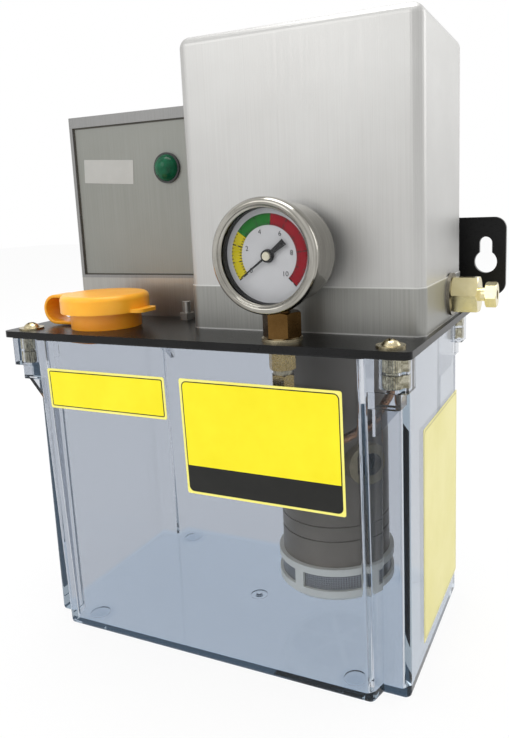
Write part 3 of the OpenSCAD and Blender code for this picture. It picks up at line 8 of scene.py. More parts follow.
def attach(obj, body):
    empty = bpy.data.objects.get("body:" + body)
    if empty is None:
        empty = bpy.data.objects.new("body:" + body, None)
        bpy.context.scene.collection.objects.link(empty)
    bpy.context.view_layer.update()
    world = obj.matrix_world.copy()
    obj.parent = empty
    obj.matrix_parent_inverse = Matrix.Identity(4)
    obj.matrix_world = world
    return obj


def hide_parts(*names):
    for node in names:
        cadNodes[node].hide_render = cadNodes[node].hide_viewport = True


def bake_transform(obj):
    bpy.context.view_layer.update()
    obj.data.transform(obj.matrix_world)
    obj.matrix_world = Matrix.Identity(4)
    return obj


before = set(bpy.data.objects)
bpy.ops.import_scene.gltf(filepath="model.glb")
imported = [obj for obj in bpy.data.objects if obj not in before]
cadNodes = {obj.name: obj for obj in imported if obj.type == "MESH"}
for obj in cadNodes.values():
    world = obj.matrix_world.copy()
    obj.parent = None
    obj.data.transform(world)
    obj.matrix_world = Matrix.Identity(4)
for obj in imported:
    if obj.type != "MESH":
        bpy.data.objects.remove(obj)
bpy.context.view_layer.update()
scene = bpy.context.scene
mm = 0.001
toMetres = Matrix.Scale(mm, 4)
print("frame loaded with", len(cadNodes), "nodes")


# Helpers for objects and node trees
def addObject(name, data):
    made = bpy.data.objects.new(name, data)
    scene.collection.objects.link(made)
    return made


def meshFrom(bm, name):
    mesh = bpy.data.meshes.new(name)
    bm.to_mesh(mesh)
    bm.free()
    return mesh


def startMaterial(name):
    mat = bpy.data.materials.new(name)
    mat.use_nodes = True
    return mat, mat.node_tree, mat.node_tree.nodes["Principled BSDF"]


def feed(tree, socket, value):
    # a value is another node's output or a plain number
    if isinstance(value, bpy.types.NodeSocket):
        tree.links.new(value, socket)
    else:
        socket.default_value = value


def addMath(tree, operation, *values, vector=False):
    node = tree.nodes.new("ShaderNodeVectorMath" if vector else "ShaderNodeMath")
    node.operation = operation
    for socket, value in zip(node.inputs, values):
        feed(tree, socket, value)
    return node.outputs["Vector" if vector and operation != "LENGTH" else "Value"]


def mixShaders(tree, factor, first, second):
    mix = tree.nodes.new("ShaderNodeMixShader")
    for socket, source in zip(mix.inputs, (factor, first, second)):
        tree.links.new(source, socket)
    return mix.outputs[0]


def blendColours(tree, factor, first, second):
    # the node's colours are its inputs 6 and 7 and its output 2
    mix = tree.nodes.new("ShaderNodeMix")
    mix.data_type = "RGBA"
    tree.links.new(factor, mix.inputs[0])
    for socket, colour in ((mix.inputs[6], first), (mix.inputs[7], second)):
        feed(tree, socket, colour if isinstance(colour, bpy.types.NodeSocket) else (*colour, 1))
    return mix.outputs[2]


def spreadValue(tree, source, low, high, fromLow=0.3, fromHigh=0.7):
    span = tree.nodes.new("ShaderNodeMapRange")
    ends = {"From Min": fromLow, "From Max": fromHigh, "To Min": low, "To Max": high}
    for label, value in ends.items():
        span.inputs[label].default_value = value
    tree.links.new(source, span.inputs["Value"])
    return span.outputs["Result"]


def objectPlace(tree):
    return tree.nodes.new("ShaderNodeTexCoord").outputs["Object"]


def splitPlace(tree):
    split = tree.nodes.new("ShaderNodeSeparateXYZ")
    tree.links.new(objectPlace(tree), split.inputs[0])
    return split.outputs


# Camera at the photograph's viewpoint
photoView = {
    "place": (0.162854, -0.296769, 0.205046),
    "right": (0.913083, 0.406244, -0.035264),
    "down": (0.038212, -0.171342, -0.984470),
    "forward": (-0.405978, 0.897556, -0.171972),
    "sensor": 36,
    "lens": 33.266,
    "shiftX": -0.0609,
    "shiftY": -0.0537,
    "nearest": 0.01,
}


def setCamera(view):
    data = bpy.data.cameras.new("photoCamera")
    data.sensor_width = view["sensor"]
    data.lens = view["lens"]
    data.shift_x = view["shiftX"]
    data.shift_y = view["shiftY"]
    data.clip_start = view["nearest"]
    camera = addObject("photoCamera", data)
    axes = Matrix((Vector(view["right"]), -Vector(view["down"]), -Vector(view["forward"]))).transposed()
    camera.matrix_world = Matrix.Translation(view["place"]) @ axes.to_4x4()
    scene.camera = camera


# World, floor and lamps
studio = {
    "white": (1, 1, 1, 1),
    "skyLevel": 0.82,
    "floorSize": 4.0,
    "floorDrop": 0.0002,
    "floorRough": 0.9,
    "floorColour": (0.88, 0.88, 0.88, 1),
    "floorGlow": 0.88,  # share of plain white that the camera sees on the floor
    "lamps": [
        # name, place, aim, size, watts
        ("keyLamp", (-0.55, -1.35, 0.95), (0.02, 0.0, 0.17), 0.9, 5),
        ("topLamp", (0.0, 0.15, 1.6), (0.0, 0.0, 0.2), 1.0, 13),
        ("sideLamp", (1.15, 1.15, 0.75), (0.05, 0.0, 0.15), 0.9, 5),
    ],
}


def whiteForEyes(tree):
    # camera, mirror and see-through rays get the plain white
    path = tree.nodes.new("ShaderNodeLightPath").outputs
    direct = addMath(tree, "MAXIMUM", path["Is Camera Ray"], path["Is Glossy Ray"])
    return addMath(tree, "MAXIMUM", direct, path["Is Transmission Ray"])


def setWorld(look):
    world = bpy.data.worlds.new("studioWorld")
    scene.world = world
    world.use_nodes = True
    tree = world.node_tree
    soft = tree.nodes["Background"]
    plain = tree.nodes.new("ShaderNodeBackground")
    for sky, level in ((soft, look["skyLevel"]), (plain, 1)):
        sky.inputs["Color"].default_value = look["white"]
        sky.inputs["Strength"].default_value = level
    seen = mixShaders(tree, whiteForEyes(tree), soft.outputs[0], plain.outputs[0])
    tree.links.new(seen, tree.nodes["World Output"].inputs[0])


def layFloor(look):
    bm = bmesh.new()
    bmesh.ops.create_grid(bm, x_segments=2, y_segments=2, size=look["floorSize"])
    floor = addObject("studioFloor", meshFrom(bm, "studioFloor"))
    floor.location.z = -look["floorDrop"]
    mat, tree, matt = startMaterial("paleFloor")
    matt.inputs["Base Color"].default_value = look["floorColour"]
    matt.inputs["Roughness"].default_value = look["floorRough"]
    glow = tree.nodes.new("ShaderNodeEmission")
    share = addMath(tree, "MULTIPLY", whiteForEyes(tree), look["floorGlow"])
    seen = mixShaders(tree, share, matt.outputs[0], glow.outputs[0])
    tree.links.new(seen, tree.nodes["Material Output"].inputs[0])
    floor.data.materials.append(mat)


def hangLamps(look):
    for name, place, aim, size, watts in look["lamps"]:
        data = bpy.data.lights.new(name, "AREA")
        data.shape = "SQUARE"
        data.size = size
        data.energy = watts
        lamp = addObject(name, data)
        lamp.location = place
        lamp.rotation_mode = "QUATERNION"
        lamp.rotation_quaternion = (Vector(aim) - Vector(place)).to_track_quat("-Z", "Y")
        lamp.visible_camera = False
        lamp.visible_transmission = False


setCamera(photoView)
setWorld(studio)
layFloor(studio)
hangLamps(studio)
scene.view_settings.view_transform = "Standard"
print("camera and studio set")


# Shared surface effects as node groups
noiseLook = {"rough": 0.6, "lineDetail": 5, "grainDetail": 4, "cloudDetail": 3, "brushCloudSize": 26}


def startGroup(name, inputs, outputs):
    group = bpy.data.node_groups.new(name, "ShaderNodeTree")
    for label, value in inputs.items():
        socket = group.interface.new_socket(name=label, in_out="INPUT", socket_type="NodeSocketFloat")
        socket.default_value = value
    for label in outputs:
        group.interface.new_socket(name=label, in_out="OUTPUT", socket_type="NodeSocketFloat")
    return group, group.nodes.new("NodeGroupInput").outputs, group.nodes.new("NodeGroupOutput").inputs


def addNoise(tree, place, scale, detail):
    noise = tree.nodes.new("ShaderNodeTexNoise")
    feed(tree, noise.inputs["Scale"], scale)
    noise.inputs["Detail"].default_value = detail
    noise.inputs["Roughness"].default_value = noiseLook["rough"]
    tree.links.new(place, noise.inputs["Vector"])
    return noise.outputs["Fac"]


def makeBrushGroup():
    scales = {"AcrossX": 900, "AcrossY": 900, "AlongZ": 8}
    group, given, out = startGroup("brushGrain", scales, ["Lines", "Clouds"])
    place = objectPlace(group)
    stretch = group.nodes.new("ShaderNodeCombineXYZ")
    for i, label in enumerate(scales):
        group.links.new(given[label], stretch.inputs[i])
    scaled = addMath(group, "MULTIPLY", place, stretch.outputs[0], vector=True)
    group.links.new(addNoise(group, scaled, 1, noiseLook["lineDetail"]), out["Lines"])
    clouds = addNoise(group, place, noiseLook["brushCloudSize"], noiseLook["cloudDetail"])
    group.links.new(clouds, out["Clouds"])
    return group


def makeGrainGroup():
    sizes = {"Size": 1500, "CloudSize": 40}
    group, given, out = startGroup("fineGrain", sizes, ["Grain", "Clouds"])
    place = objectPlace(group)
    group.links.new(addNoise(group, place, given["Size"], noiseLook["grainDetail"]), out["Grain"])
    group.links.new(addNoise(group, place, given["CloudSize"], noiseLook["cloudDetail"]), out["Clouds"])
    return group


brushGroup = makeBrushGroup()
grainGroup = makeGrainGroup()


def placeGroup(tree, group, values):
    node = tree.nodes.new("ShaderNodeGroup")
    node.node_tree = group
    for label, value in values.items():
        node.inputs[label].default_value = value
    return node.outputs


# Steps that the finishes share
shaderSockets = {
    "metal": "Metallic", "specular": "Specular IOR Level", "coat": "Coat Weight",
    "coatRough": "Coat Roughness", "clear": "Transmission Weight", "ior": "IOR",
    "subsurface": "Subsurface Weight", "subsurfaceRadius": "Subsurface Radius",
    "subsurfaceScale": "Subsurface Scale",
}


def setShader(shader, look):
    for key, label in shaderSockets.items():
        if key in look:
            shader.inputs[label].default_value = look[key]


def spreadRoughness(tree, shader, source, look):
    low, high = look["rough"] - look["roughSpread"], look["rough"] + look["roughSpread"]
    tree.links.new(spreadValue(tree, source, low, high), shader.inputs["Roughness"])


def addBump(tree, shader, height, look):
    bump = tree.nodes.new("ShaderNodeBump")
    bump.inputs["Strength"].default_value = look["bump"]
    bump.inputs["Distance"].default_value = look["depth"] * mm
    tree.links.new(height, bump.inputs["Height"])
    tree.links.new(bump.outputs["Normal"], shader.inputs["Normal"])


def overColour(tree, shader, mask, colour):
    base = shader.inputs["Base Color"]
    tree.links.new(blendColours(tree, mask, base.links[0].from_socket, colour), base)


def paintEdgeHighlights(tree, shader, look):
    # painted highlight: the cut edges at the given heights are painted lighter, as if they caught the light
    low, high, width = look["edges"]
    height = splitPlace(tree)["Z"]
    below = spreadValue(tree, height, 1, 0, low * mm, (low + width) * mm)
    above = spreadValue(tree, height, 0, 1, (high - width) * mm, high * mm)
    overColour(tree, shader, addMath(tree, "MAXIMUM", below, above), look["edgeHighlightColour"])


def paintSocketShade(tree, shader, look):
    # painted shade and old grease darken the blind socket in the middle of the plug
    away = addMath(tree, "SUBTRACT", objectPlace(tree), Vector(look["socketFrom"]) * mm, vector=True)
    beside = addMath(tree, "CROSS_PRODUCT", away, look["socketAlong"], vector=True)
    reach = addMath(tree, "LENGTH", beside, vector=True)
    inner, outer = look["socket"]
    overColour(tree, shader, spreadValue(tree, reach, 1, 0, inner * mm, outer * mm), look["socketShadeColour"])


# Brushed sheet and steel
brushMix = {"cloudShare": 0.35, "low": 0.35, "high": 0.65}
coverBrush = {"metal": 0.8, "rough": 0.42, "roughSpread": 0.07, "stretch": (2400, 2400, 14), "bump": 0.12,
              "depth": 0.05}
sheetBrush = {"rough": 0.42, "roughSpread": 0.06, "stretch": (1800, 1800, 16), "bump": 0.08, "depth": 0.04}
brushedLooks = {
    "brushedCover": {**coverBrush, "dark": (0.455, 0.45, 0.437), "light": (0.525, 0.523, 0.51)},
    # the block's top and bottom edges carry a painted highlight
    "brushedBase": {**coverBrush, "dark": (0.25, 0.25, 0.235), "light": (0.34, 0.34, 0.32),
                    "edges": (153.0, 173.0, 0.7), "edgeHighlightColour": (0.72, 0.72, 0.70)},
    "skirtSheet": {**sheetBrush, "dark": (0.35, 0.34, 0.315), "light": (0.41, 0.40, 0.375), "metal": 0.85,
                   "rough": 0.34, "roughSpread": 0.03, "bump": 0.02, "depth": 0.03},
    "boxSheet": {**sheetBrush, "dark": (0.235, 0.235, 0.23), "light": (0.285, 0.285, 0.28), "metal": 0.55},
    "boxPanel": {**sheetBrush, "dark": (0.235, 0.24, 0.217), "light": (0.275, 0.28, 0.258), "metal": 0.5,
                 "rough": 0.45},
    "gaugeSteel": {"dark": (0.20, 0.19, 0.165), "light": (0.44, 0.425, 0.385), "metal": 1.0, "rough": 0.16,
                   "roughSpread": 0.05, "stretch": (60, 1800, 60), "bump": 0.05, "depth": 0.03},
}


def brushedFinish(name, look):
    mat, tree, shader = startMaterial(name)
    brush = placeGroup(tree, brushGroup, dict(zip(("AcrossX", "AcrossY", "AlongZ"), look["stretch"])))
    both = tree.nodes.new("ShaderNodeMix")
    both.inputs[0].default_value = brushMix["cloudShare"]
    tree.links.new(brush["Lines"], both.inputs[2])
    tree.links.new(brush["Clouds"], both.inputs[3])
    fac = spreadValue(tree, both.outputs[0], 0, 1, brushMix["low"], brushMix["high"])
    tree.links.new(blendColours(tree, fac, look["dark"], look["light"]), shader.inputs["Base Color"])
    spreadRoughness(tree, shader, brush["Lines"], look)
    addBump(tree, shader, brush["Lines"], look)
    setShader(shader, look)
    if "edges" in look:
        paintEdgeHighlights(tree, shader, look)
    return mat


# Grained metals, mouldings, labels and inks
turnedMetal = {"metal": 1.0, "rough": 0.3, "roughSpread": 0.06, "size": 1200, "cloudSize": 90, "bump": 0.05,
               "depth": 0.03}
orangeMoulding = {"rough": 0.34, "roughSpread": 0.06, "size": 1300, "cloudSize": 45, "bump": 0.06,
                  "depth": 0.05, "specular": 0.4, "subsurface": 0.12,
                  "subsurfaceRadius": (1.0, 0.35, 0.12), "subsurfaceScale": 0.003}
labelFilm = {"rough": 0.4, "roughSpread": 0.04, "size": 2000, "cloudSize": 60, "bump": 0.03, "depth": 0.02}
dialInk = {"rough": 0.5, "roughSpread": 0.04, "size": 2200, "cloudSize": 200, "bump": 0.03, "depth": 0.02,
           "specular": 0.1}
grainedLooks = {
    "deckPowder": {"dark": (0.004, 0.004, 0.0042), "light": (0.008, 0.008, 0.0084), "rough": 0.3,
                   "roughSpread": 0.05, "size": 1600, "cloudSize": 60, "bump": 0.12, "depth": 0.08,
                   "specular": 0.2},
    "yellowZinc": {**turnedMetal, "dark": (0.34, 0.28, 0.15), "light": (0.60, 0.53, 0.36), "rough": 0.26,
                   "roughSpread": 0.08, "size": 900, "cloudSize": 260, "bump": 0.08},
    "turnedBrass": {**turnedMetal, "dark": (0.40, 0.27, 0.09), "light": (0.60, 0.44, 0.18), "rough": 0.28},
    # a painted highlight runs round the stem's foot
    "stemBrass": {**turnedMetal, "dark": (0.095, 0.05, 0.015), "light": (0.15, 0.082, 0.027),
                  "edges": (154.2, 400.0, 0.3), "edgeHighlightColour": (0.52, 0.45, 0.30)},
    "outletBrass": {**turnedMetal, "dark": (0.68, 0.59, 0.31), "light": (0.84, 0.76, 0.47), "rough": 0.22,
                    "roughSpread": 0.05, "bump": 0.04},
    "insertBrass": {**turnedMetal, "dark": (0.20, 0.17, 0.09), "light": (0.78, 0.72, 0.54), "rough": 0.16,
                    "cloudSize": 600},
    "brightSteel": {**turnedMetal, "dark": (0.30, 0.30, 0.31), "light": (0.46, 0.46, 0.47),
                    "roughSpread": 0.08, "size": 1000, "cloudSize": 120, "bump": 0.06},
    "motorCasting": {"dark": (0.30, 0.31, 0.32), "light": (0.42, 0.43, 0.44), "metal": 0.8, "rough": 0.5,
                     "roughSpread": 0.1, "size": 1400, "cloudSize": 60, "bump": 0.3, "depth": 0.1},
    "drawnCopper": {**turnedMetal, "dark": (0.30, 0.15, 0.075), "light": (0.46, 0.25, 0.14),
                    "roughSpread": 0.08, "size": 900},
    "pumpIron": {"dark": (0.20, 0.172, 0.135), "light": (0.26, 0.226, 0.182), "metal": 0.2, "rough": 0.42,
                 "roughSpread": 0.06, "size": 1300, "cloudSize": 40, "bump": 0.05, "depth": 0.05},
    "plugSteel": {**turnedMetal, "dark": (0.18, 0.165, 0.13), "light": (0.32, 0.29, 0.24), "metal": 0.9,
                  "rough": 0.35, "roughSpread": 0.08, "size": 900, "cloudSize": 160, "bump": 0.08},
    # the plug's blind socket is darkened with painted shade and old grease
    "portBrass": {**turnedMetal, "dark": (0.34, 0.28, 0.16), "light": (0.48, 0.41, 0.26), "metal": 0.6,
                  "rough": 0.35, "size": 900, "cloudSize": 160, "bump": 0.06, "socket": (5.1, 5.4),
                  "socketFrom": (43.0, 6.0, 89.4), "socketAlong": (0.7771, -0.6293, 0.0),
                  "socketShadeColour": (0.035, 0.03, 0.022)},
    "cageWhite": {"dark": (0.92, 0.91, 0.82), "light": (0.98, 0.97, 0.88), "rough": 0.42, "roughSpread": 0.06,
                  "size": 1500, "cloudSize": 50, "bump": 0.08, "depth": 0.05},
    "capOrange": {**orangeMoulding, "dark": (0.93, 0.38, 0.012), "light": (1.0, 0.47, 0.03)},
    # the neck's own redder orange, with painted light: brighter than the cap's to make up for the cap's shade
    # on it
    "neckOrange": {**orangeMoulding, "dark": (1.0, 0.32, 0.010), "light": (1.0, 0.40, 0.022)},
    "sealBlack": {"dark": (0.008, 0.008, 0.009), "light": (0.018, 0.018, 0.019), "rough": 0.5,
                  "roughSpread": 0.08, "size": 1800, "cloudSize": 80, "bump": 0.12, "depth": 0.05,
                  "specular": 0.3},
    # dark grey of the painted shade frame round the control panel
    "shadeFrameGrey": {"dark": (0.040, 0.036, 0.026), "light": (0.060, 0.055, 0.042), "rough": 0.5,
                "roughSpread": 0.06, "size": 1600, "cloudSize": 80, "bump": 0.08, "depth": 0.04},
    "blackMoulding": {"dark": (0.014, 0.014, 0.015), "light": (0.026, 0.026, 0.028), "rough": 0.42,
                      "roughSpread": 0.06, "size": 1600, "cloudSize": 60, "bump": 0.15, "depth": 0.06},
    "dialEnamel": {"dark": (0.52, 0.52, 0.53), "light": (0.58, 0.58, 0.59), "rough": 0.5, "roughSpread": 0.05,
                   "size": 2200, "cloudSize": 90, "bump": 0.04, "depth": 0.02},
    "hubIvory": {"dark": (0.62, 0.58, 0.44), "light": (0.70, 0.66, 0.52), "rough": 0.4, "roughSpread": 0.05,
                 "size": 1600, "cloudSize": 200, "bump": 0.04, "depth": 0.02},
    "boardLacquer": {"dark": (0.01, 0.09, 0.03), "light": (0.02, 0.15, 0.05), "rough": 0.3,
                     "roughSpread": 0.06, "size": 900, "cloudSize": 120, "bump": 0.1, "depth": 0.05},
    "labelYellow": {**labelFilm, "dark": (0.90, 0.77, 0.004), "light": (0.95, 0.83, 0.012), "specular": 0.3},
    "labelEdge": {**labelFilm, "dark": (0.90, 0.82, 0.16), "light": (0.95, 0.88, 0.24), "specular": 0.3},
    "labelPale": {**labelFilm, "dark": (0.74, 0.68, 0.25), "light": (0.80, 0.74, 0.33), "cloudSize": 40,
                  "specular": 0.3},
    "labelBlack": {**labelFilm, "dark": (0.010, 0.010, 0.009), "light": (0.016, 0.016, 0.014), "rough": 0.45,
                   "specular": 0.25},
    "labelLine": {**labelFilm, "dark": (0.42, 0.39, 0.17), "light": (0.48, 0.45, 0.22), "rough": 0.45},
    "labelBack": {**labelFilm, "dark": (0.80, 0.80, 0.77), "light": (0.86, 0.86, 0.83), "rough": 0.6},
    "labelWhite": {**labelFilm, "dark": (0.40, 0.40, 0.38), "light": (0.45, 0.45, 0.43), "rough": 0.45},
    "dialYellow": {**dialInk, "dark": (0.56, 0.46, 0.010), "light": (0.66, 0.54, 0.018)},
    "dialGreen": {**dialInk, "dark": (0.012, 0.15, 0.018), "light": (0.02, 0.21, 0.03)},
    "dialRed": {**dialInk, "dark": (0.27, 0.007, 0.014), "light": (0.35, 0.012, 0.022)},
    "lampLens": {"dark": (0.003, 0.05, 0.022), "light": (0.008, 0.12, 0.055), "rough": 0.14,
                 "roughSpread": 0.04, "size": 500, "cloudSize": 220, "specular": 0.15, "coat": 0.05,
                 "coatRough": 0.05},
}


def grainedFinish(name, look):
    mat, tree, shader = startMaterial(name)
    grain = placeGroup(tree, grainGroup, {"Size": look["size"], "CloudSize": look["cloudSize"]})
    fac = spreadValue(tree, grain["Clouds"], 0, 1)
    tree.links.new(blendColours(tree, fac, look["dark"], look["light"]), shader.inputs["Base Color"])
    spreadRoughness(tree, shader, grain["Grain"], look)
    if "bump" in look:
        addBump(tree, shader, grain["Grain"], look)
    setShader(shader, look)
    if "edges" in look:
        paintEdgeHighlights(tree, shader, look)
    if "socket" in look:
        paintSocketShade(tree, shader, look)
    return mat


# Clear plastic of the tank and the gauge's window
clearBase = {"clear": 1, "size": 60, "cloudSize": 14, "bump": 0.02, "depth": 0.1, "passes": 10,
             "mirrors": 2.5}
tankLook = {**clearBase, "colour": (0.635, 0.662, 0.705), "shadow": (0.97, 0.975, 0.98), "rough": 0.03,
            "roughSpread": 0.015, "ior": 1.32, "deep": (0.36, 0.43, 0.49),
            "floorColour": (0.58, 0.665, 0.765), "floorTop": 3.2, "floorFade": 1,
            "padColour": (0.46, 0.56, 0.68), "pad": (70.0, 44.0), "padReach": (3.0, 9.0)}
windowLook = {**clearBase, "colour": (0.98, 0.985, 0.99), "shadow": (0.95, 0.95, 0.95), "rough": 0.012,
              "roughSpread": 0.006, "ior": 1.16, "deep": (0.9, 0.9, 0.9)}


def tintFloor(tree, shader, look):
    # the floor is bluer than the walls, most of all at its four moulded pads
    place = splitPlace(tree)
    top = look["floorTop"]
    low = spreadValue(tree, place["Z"], 1, 0, top * mm, (top + look["floorFade"]) * mm)
    away = tree.nodes.new("ShaderNodeCombineXYZ")
    for i, middle in enumerate(look["pad"]):
        side = addMath(tree, "ABSOLUTE", place[i])
        tree.links.new(addMath(tree, "SUBTRACT", side, middle * mm), away.inputs[i])
    reach = addMath(tree, "LENGTH", away.outputs[0], vector=True)
    inner, outer = look["padReach"]
    near = spreadValue(tree, reach, 1, 0, inner * mm, outer * mm)
    floor = blendColours(tree, near, look["floorColour"], look["padColour"])
    tree.links.new(blendColours(tree, low, look["colour"], floor), shader.inputs["Base Color"])


def seeThrough(tree, colour):
    clear = tree.nodes.new("ShaderNodeBsdfTransparent")
    clear.inputs["Color"].default_value = (*colour, 1)
    return clear.outputs[0]


def clearFinish(name, look):
    mat, tree, shader = startMaterial(name)
    grain = placeGroup(tree, grainGroup, {"Size": look["size"], "CloudSize": look["cloudSize"]})
    shader.inputs["Base Color"].default_value = (*look["colour"], 1)
    if "floorColour" in look:
        tintFloor(tree, shader, look)
    spreadRoughness(tree, shader, grain["Clouds"], look)
    addBump(tree, shader, grain["Grain"], look)
    setShader(shader, look)
    path = tree.nodes.new("ShaderNodeLightPath").outputs
    # light passes through to what stands inside
    lit = mixShaders(tree, path["Is Shadow Ray"], shader.outputs[0], seeThrough(tree, look["shadow"]))
    # light that is caught along a wall or the floor leaves with the plastic's deep tint
    mirrored = addMath(tree, "GREATER_THAN", path["Glossy Depth"], look["mirrors"])
    passed = addMath(tree, "GREATER_THAN", path["Ray Depth"], look["passes"])
    late = addMath(tree, "MAXIMUM", mirrored, passed)
    seen = mixShaders(tree, late, lit, seeThrough(tree, look["deep"]))
    tree.links.new(seen, tree.nodes["Material Output"].inputs[0])
    return mat


# Woven wire of the strainer
weaveLook = {"wire": (0.42, 0.43, 0.44), "gap": (0.10, 0.10, 0.10), "pitch": 1.1, "full": 0.8,
             "gapRough": 0.55, "wireRough": 0.3, "bump": 0.6, "depth": 0.2, "metal": 0.8}


def wovenFinish(name, look):
    # woven wires over the sleeve: rings along Z and uprights across X
    mat, tree, shader = startMaterial(name)
    place = splitPlace(tree)
    waves = []
    for axis in ("X", "Z"):
        turn = addMath(tree, "MULTIPLY", place[axis], 2 * math.pi / (look["pitch"] * mm))
        waves.append(addMath(tree, "SINE", turn))
    top = addMath(tree, "MAXIMUM", *waves)
    fac = spreadValue(tree, top, 0, 1, 0, look["full"])
    tree.links.new(blendColours(tree, fac, look["gap"], look["wire"]), shader.inputs["Base Color"])
    rough = spreadValue(tree, top, look["gapRough"], look["wireRough"], 0, 1)
    tree.links.new(rough, shader.inputs["Roughness"])
    addBump(tree, shader, top, look)
    setShader(shader, look)
    return mat


paints = {name: brushedFinish(name, look) for name, look in brushedLooks.items()}
paints.update({name: grainedFinish(name, look) for name, look in grainedLooks.items()})
paints["clearTank"] = clearFinish("clearTank", tankLook)
paints["gaugeWindow"] = clearFinish("gaugeWindow", windowLook)
paints["strainerWeave"] = wovenFinish("strainerWeave", weaveLook)
nodePaint = {
    "clearTank": ["tank"],
    "turnedBrass": ["gauge_nut", "outlet_sleeve", "pipe_nuts", "bulkhead_fitting", "bourdon_tube",
                    "gauge_movement", "shaft_bushes"],
    "insertBrass": ["thread_inserts"],
    "stemBrass": ["gauge_stem"],
    "outletBrass": ["outlet_body", "outlet_nut"],
    "sealBlack": ["deck_gasket", "shaft_seal", "gauge_seal"],
    "deckPowder": ["deck_plate"],
    "yellowZinc": ["deck_screws", "deck_washers"],
    "brushedCover": ["motor_cover"],
    "brushedBase": ["base_block"],
    "motorCasting": ["lower_bell", "upper_bell", "stator", "rotor"],
    "brightSteel": ["cover_screws", "motor_screws", "motor_bearings", "motor_shaft", "coupling",
                    "clamp_bolts", "pump_shaft", "drive_gear", "driven_gear", "idler_pin", "pump_bolts"],
    "drawnCopper": ["windings", "discharge_pipe", "gauge_line"],
    "pumpIron": ["pump_column", "gear_plate", "end_cover"],
    "plugSteel": ["outlet_washer"],
    "portBrass": ["port_plug"],
    "cageWhite": ["strainer_cage"],
    "strainerWeave": ["strainer_mesh"],
    "gaugeSteel": ["gauge_bezel", "gauge_case"],
    "gaugeWindow": ["gauge_glass"],
    "dialEnamel": ["gauge_dial"],
    "blackMoulding": ["gauge_pointer", "lamp_body", "cable_gland"],
    "skirtSheet": ["control_base"],
    "boxSheet": ["control_housing"],
    "boxPanel": ["control_panel"],
    "lampLens": ["lamp_lens"],
    "boardLacquer": ["circuit_board"],
    "capOrange": ["filler_cap", "cap_strap"],
    "neckOrange": ["filler_neck"],
}
for paint, names in nodePaint.items():
    for name in names:
        mesh = cadNodes[name].data
        mesh.materials.clear()
        mesh.materials.append(paints[paint])
print("finishes on", sum(len(names) for names in nodePaint.values()), "nodes")


# Mesh helpers, which work in millimetres until a piece is placed
standUp = Matrix(((1, 0, 0), (0, 0, -1), (0, 1, 0))).to_4x4()  # turns a flat drawing to face the front
weld = 0.001


def finishPiece(name, bm, materials, body, sharp=35):
    mesh = meshFrom(bm, name)
    for material in materials:
        mesh.materials.append(paints[material])
    mesh.polygons.foreach_set("use_smooth", [True] * len(mesh.polygons))
    mesh.set_sharp_from_angle(angle=math.radians(sharp))
    piece = addObject(name, mesh)
    if body:
        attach(piece, body)
    return piece


def onlyFaces(geom):
    return [g for g in geom if isinstance(g, bmesh.types.BMFace)]


def addPlate(bm, width, height):
    made = bmesh.ops.create_grid(bm, x_segments=1, y_segments=1, size=0.5)["verts"]
    bmesh.ops.scale(bm, vec=(width, height, 1), verts=made)
    return made


def roundCorners(bm, verts, radius, steps):
    bmesh.ops.bevel(bm, geom=verts, offset=radius, affect="VERTICES", segments=steps, profile=0.5,
                    material=-1)


def pullFaces(bm, faces, offset):
    made = bmesh.ops.extrude_face_region(bm, geom=faces)["geom"]
    bmesh.ops.translate(bm, vec=offset, verts=[g for g in made if isinstance(g, bmesh.types.BMVert)])
    return onlyFaces(made)


def faceOutwards(bm, matrix):
    bmesh.ops.recalc_face_normals(bm, faces=bm.faces)
    bmesh.ops.transform(bm, matrix=matrix, verts=bm.verts)


# Labels: thin bare plates with a border line, the large one with a dark band
fieldPaint, edgePaint, linePaint, backPaint = range(4)  # places in a label's list of paints
labels = {
    "smallFrontLabel": {"low": (-75.6, 116.7), "high": (-9.7, 136.0), "wall": "front", "lineCorner": 0.8,
                        "paints": ["labelYellow", "labelEdge", "labelBlack", "labelBack"]},
    "largeFrontLabel": {"low": (-2.0, 83.7), "high": (72.4, 136.2), "wall": "front", "lineCorner": 2.4,
                        "band": 97.0, "paints": ["labelYellow", "labelEdge", "labelBlack", "labelBack"]},
    "sideLabel": {"low": (-23.0, 11.0), "high": (47.0, 111.3), "wall": "side", "lineCorner": 2.4,
                  "paints": ["labelPale", "labelPale", "labelLine", "labelBack"]},
    "panelLabel": {"low": (-92.3, 222.3), "high": (-60.6, 234.4), "wall": "panel", "corner": 0.5,
                   "tilt": -3.5, "paints": ["labelWhite", "labelWhite", "labelWhite", "labelBack"]},
}
labelShared = {
    "corner": 1.0, "cornerSteps": 6, "border": 1.1, "line": 0.45, "thick": 0.1, "standOff": 0.02,
    "innerLift": 0.6,  # share of the outer plate's thickness at which the inner one starts
    "tankLean": 5.0, "tankHeight": 149.2, "frontAtFloor": -55.0, "sideWall": 95.0, "panelFace": -2.8,
}


def addLayer(bm, look, shared, margin, corner, low, paint):
    # one flat layer with rounded corners; returns the faces of its front
    before = set(bm.faces)
    width, height = (look["high"][i] - look["low"][i] - 2 * margin for i in (0, 1))
    made = addPlate(bm, width, height)
    bmesh.ops.translate(bm, vec=(0, 0, low), verts=made)
    roundCorners(bm, made, corner, shared["cornerSteps"])
    back = [f for f in bm.faces if f not in before]
    front = pullFaces(bm, back, (0, 0, shared["thick"]))
    for face in bm.faces:
        if face not in before:
            face.material_index = backPaint if face in back else paint
    return front


def paintBand(bm, look, field):
    # the field below the given height is dark
    level = look["band"] - (look["low"][1] + look["high"][1]) / 2
    geom = dict.fromkeys(g for f in field for g in [f, *f.edges, *f.verts])
    cut = bmesh.ops.bisect_plane(bm, geom=list(geom), plane_co=(0, level, 0), plane_no=(0, 1, 0))
    for face in onlyFaces(cut["geom"]):
        if face.calc_center_median().y < level:
            face.material_index = linePaint


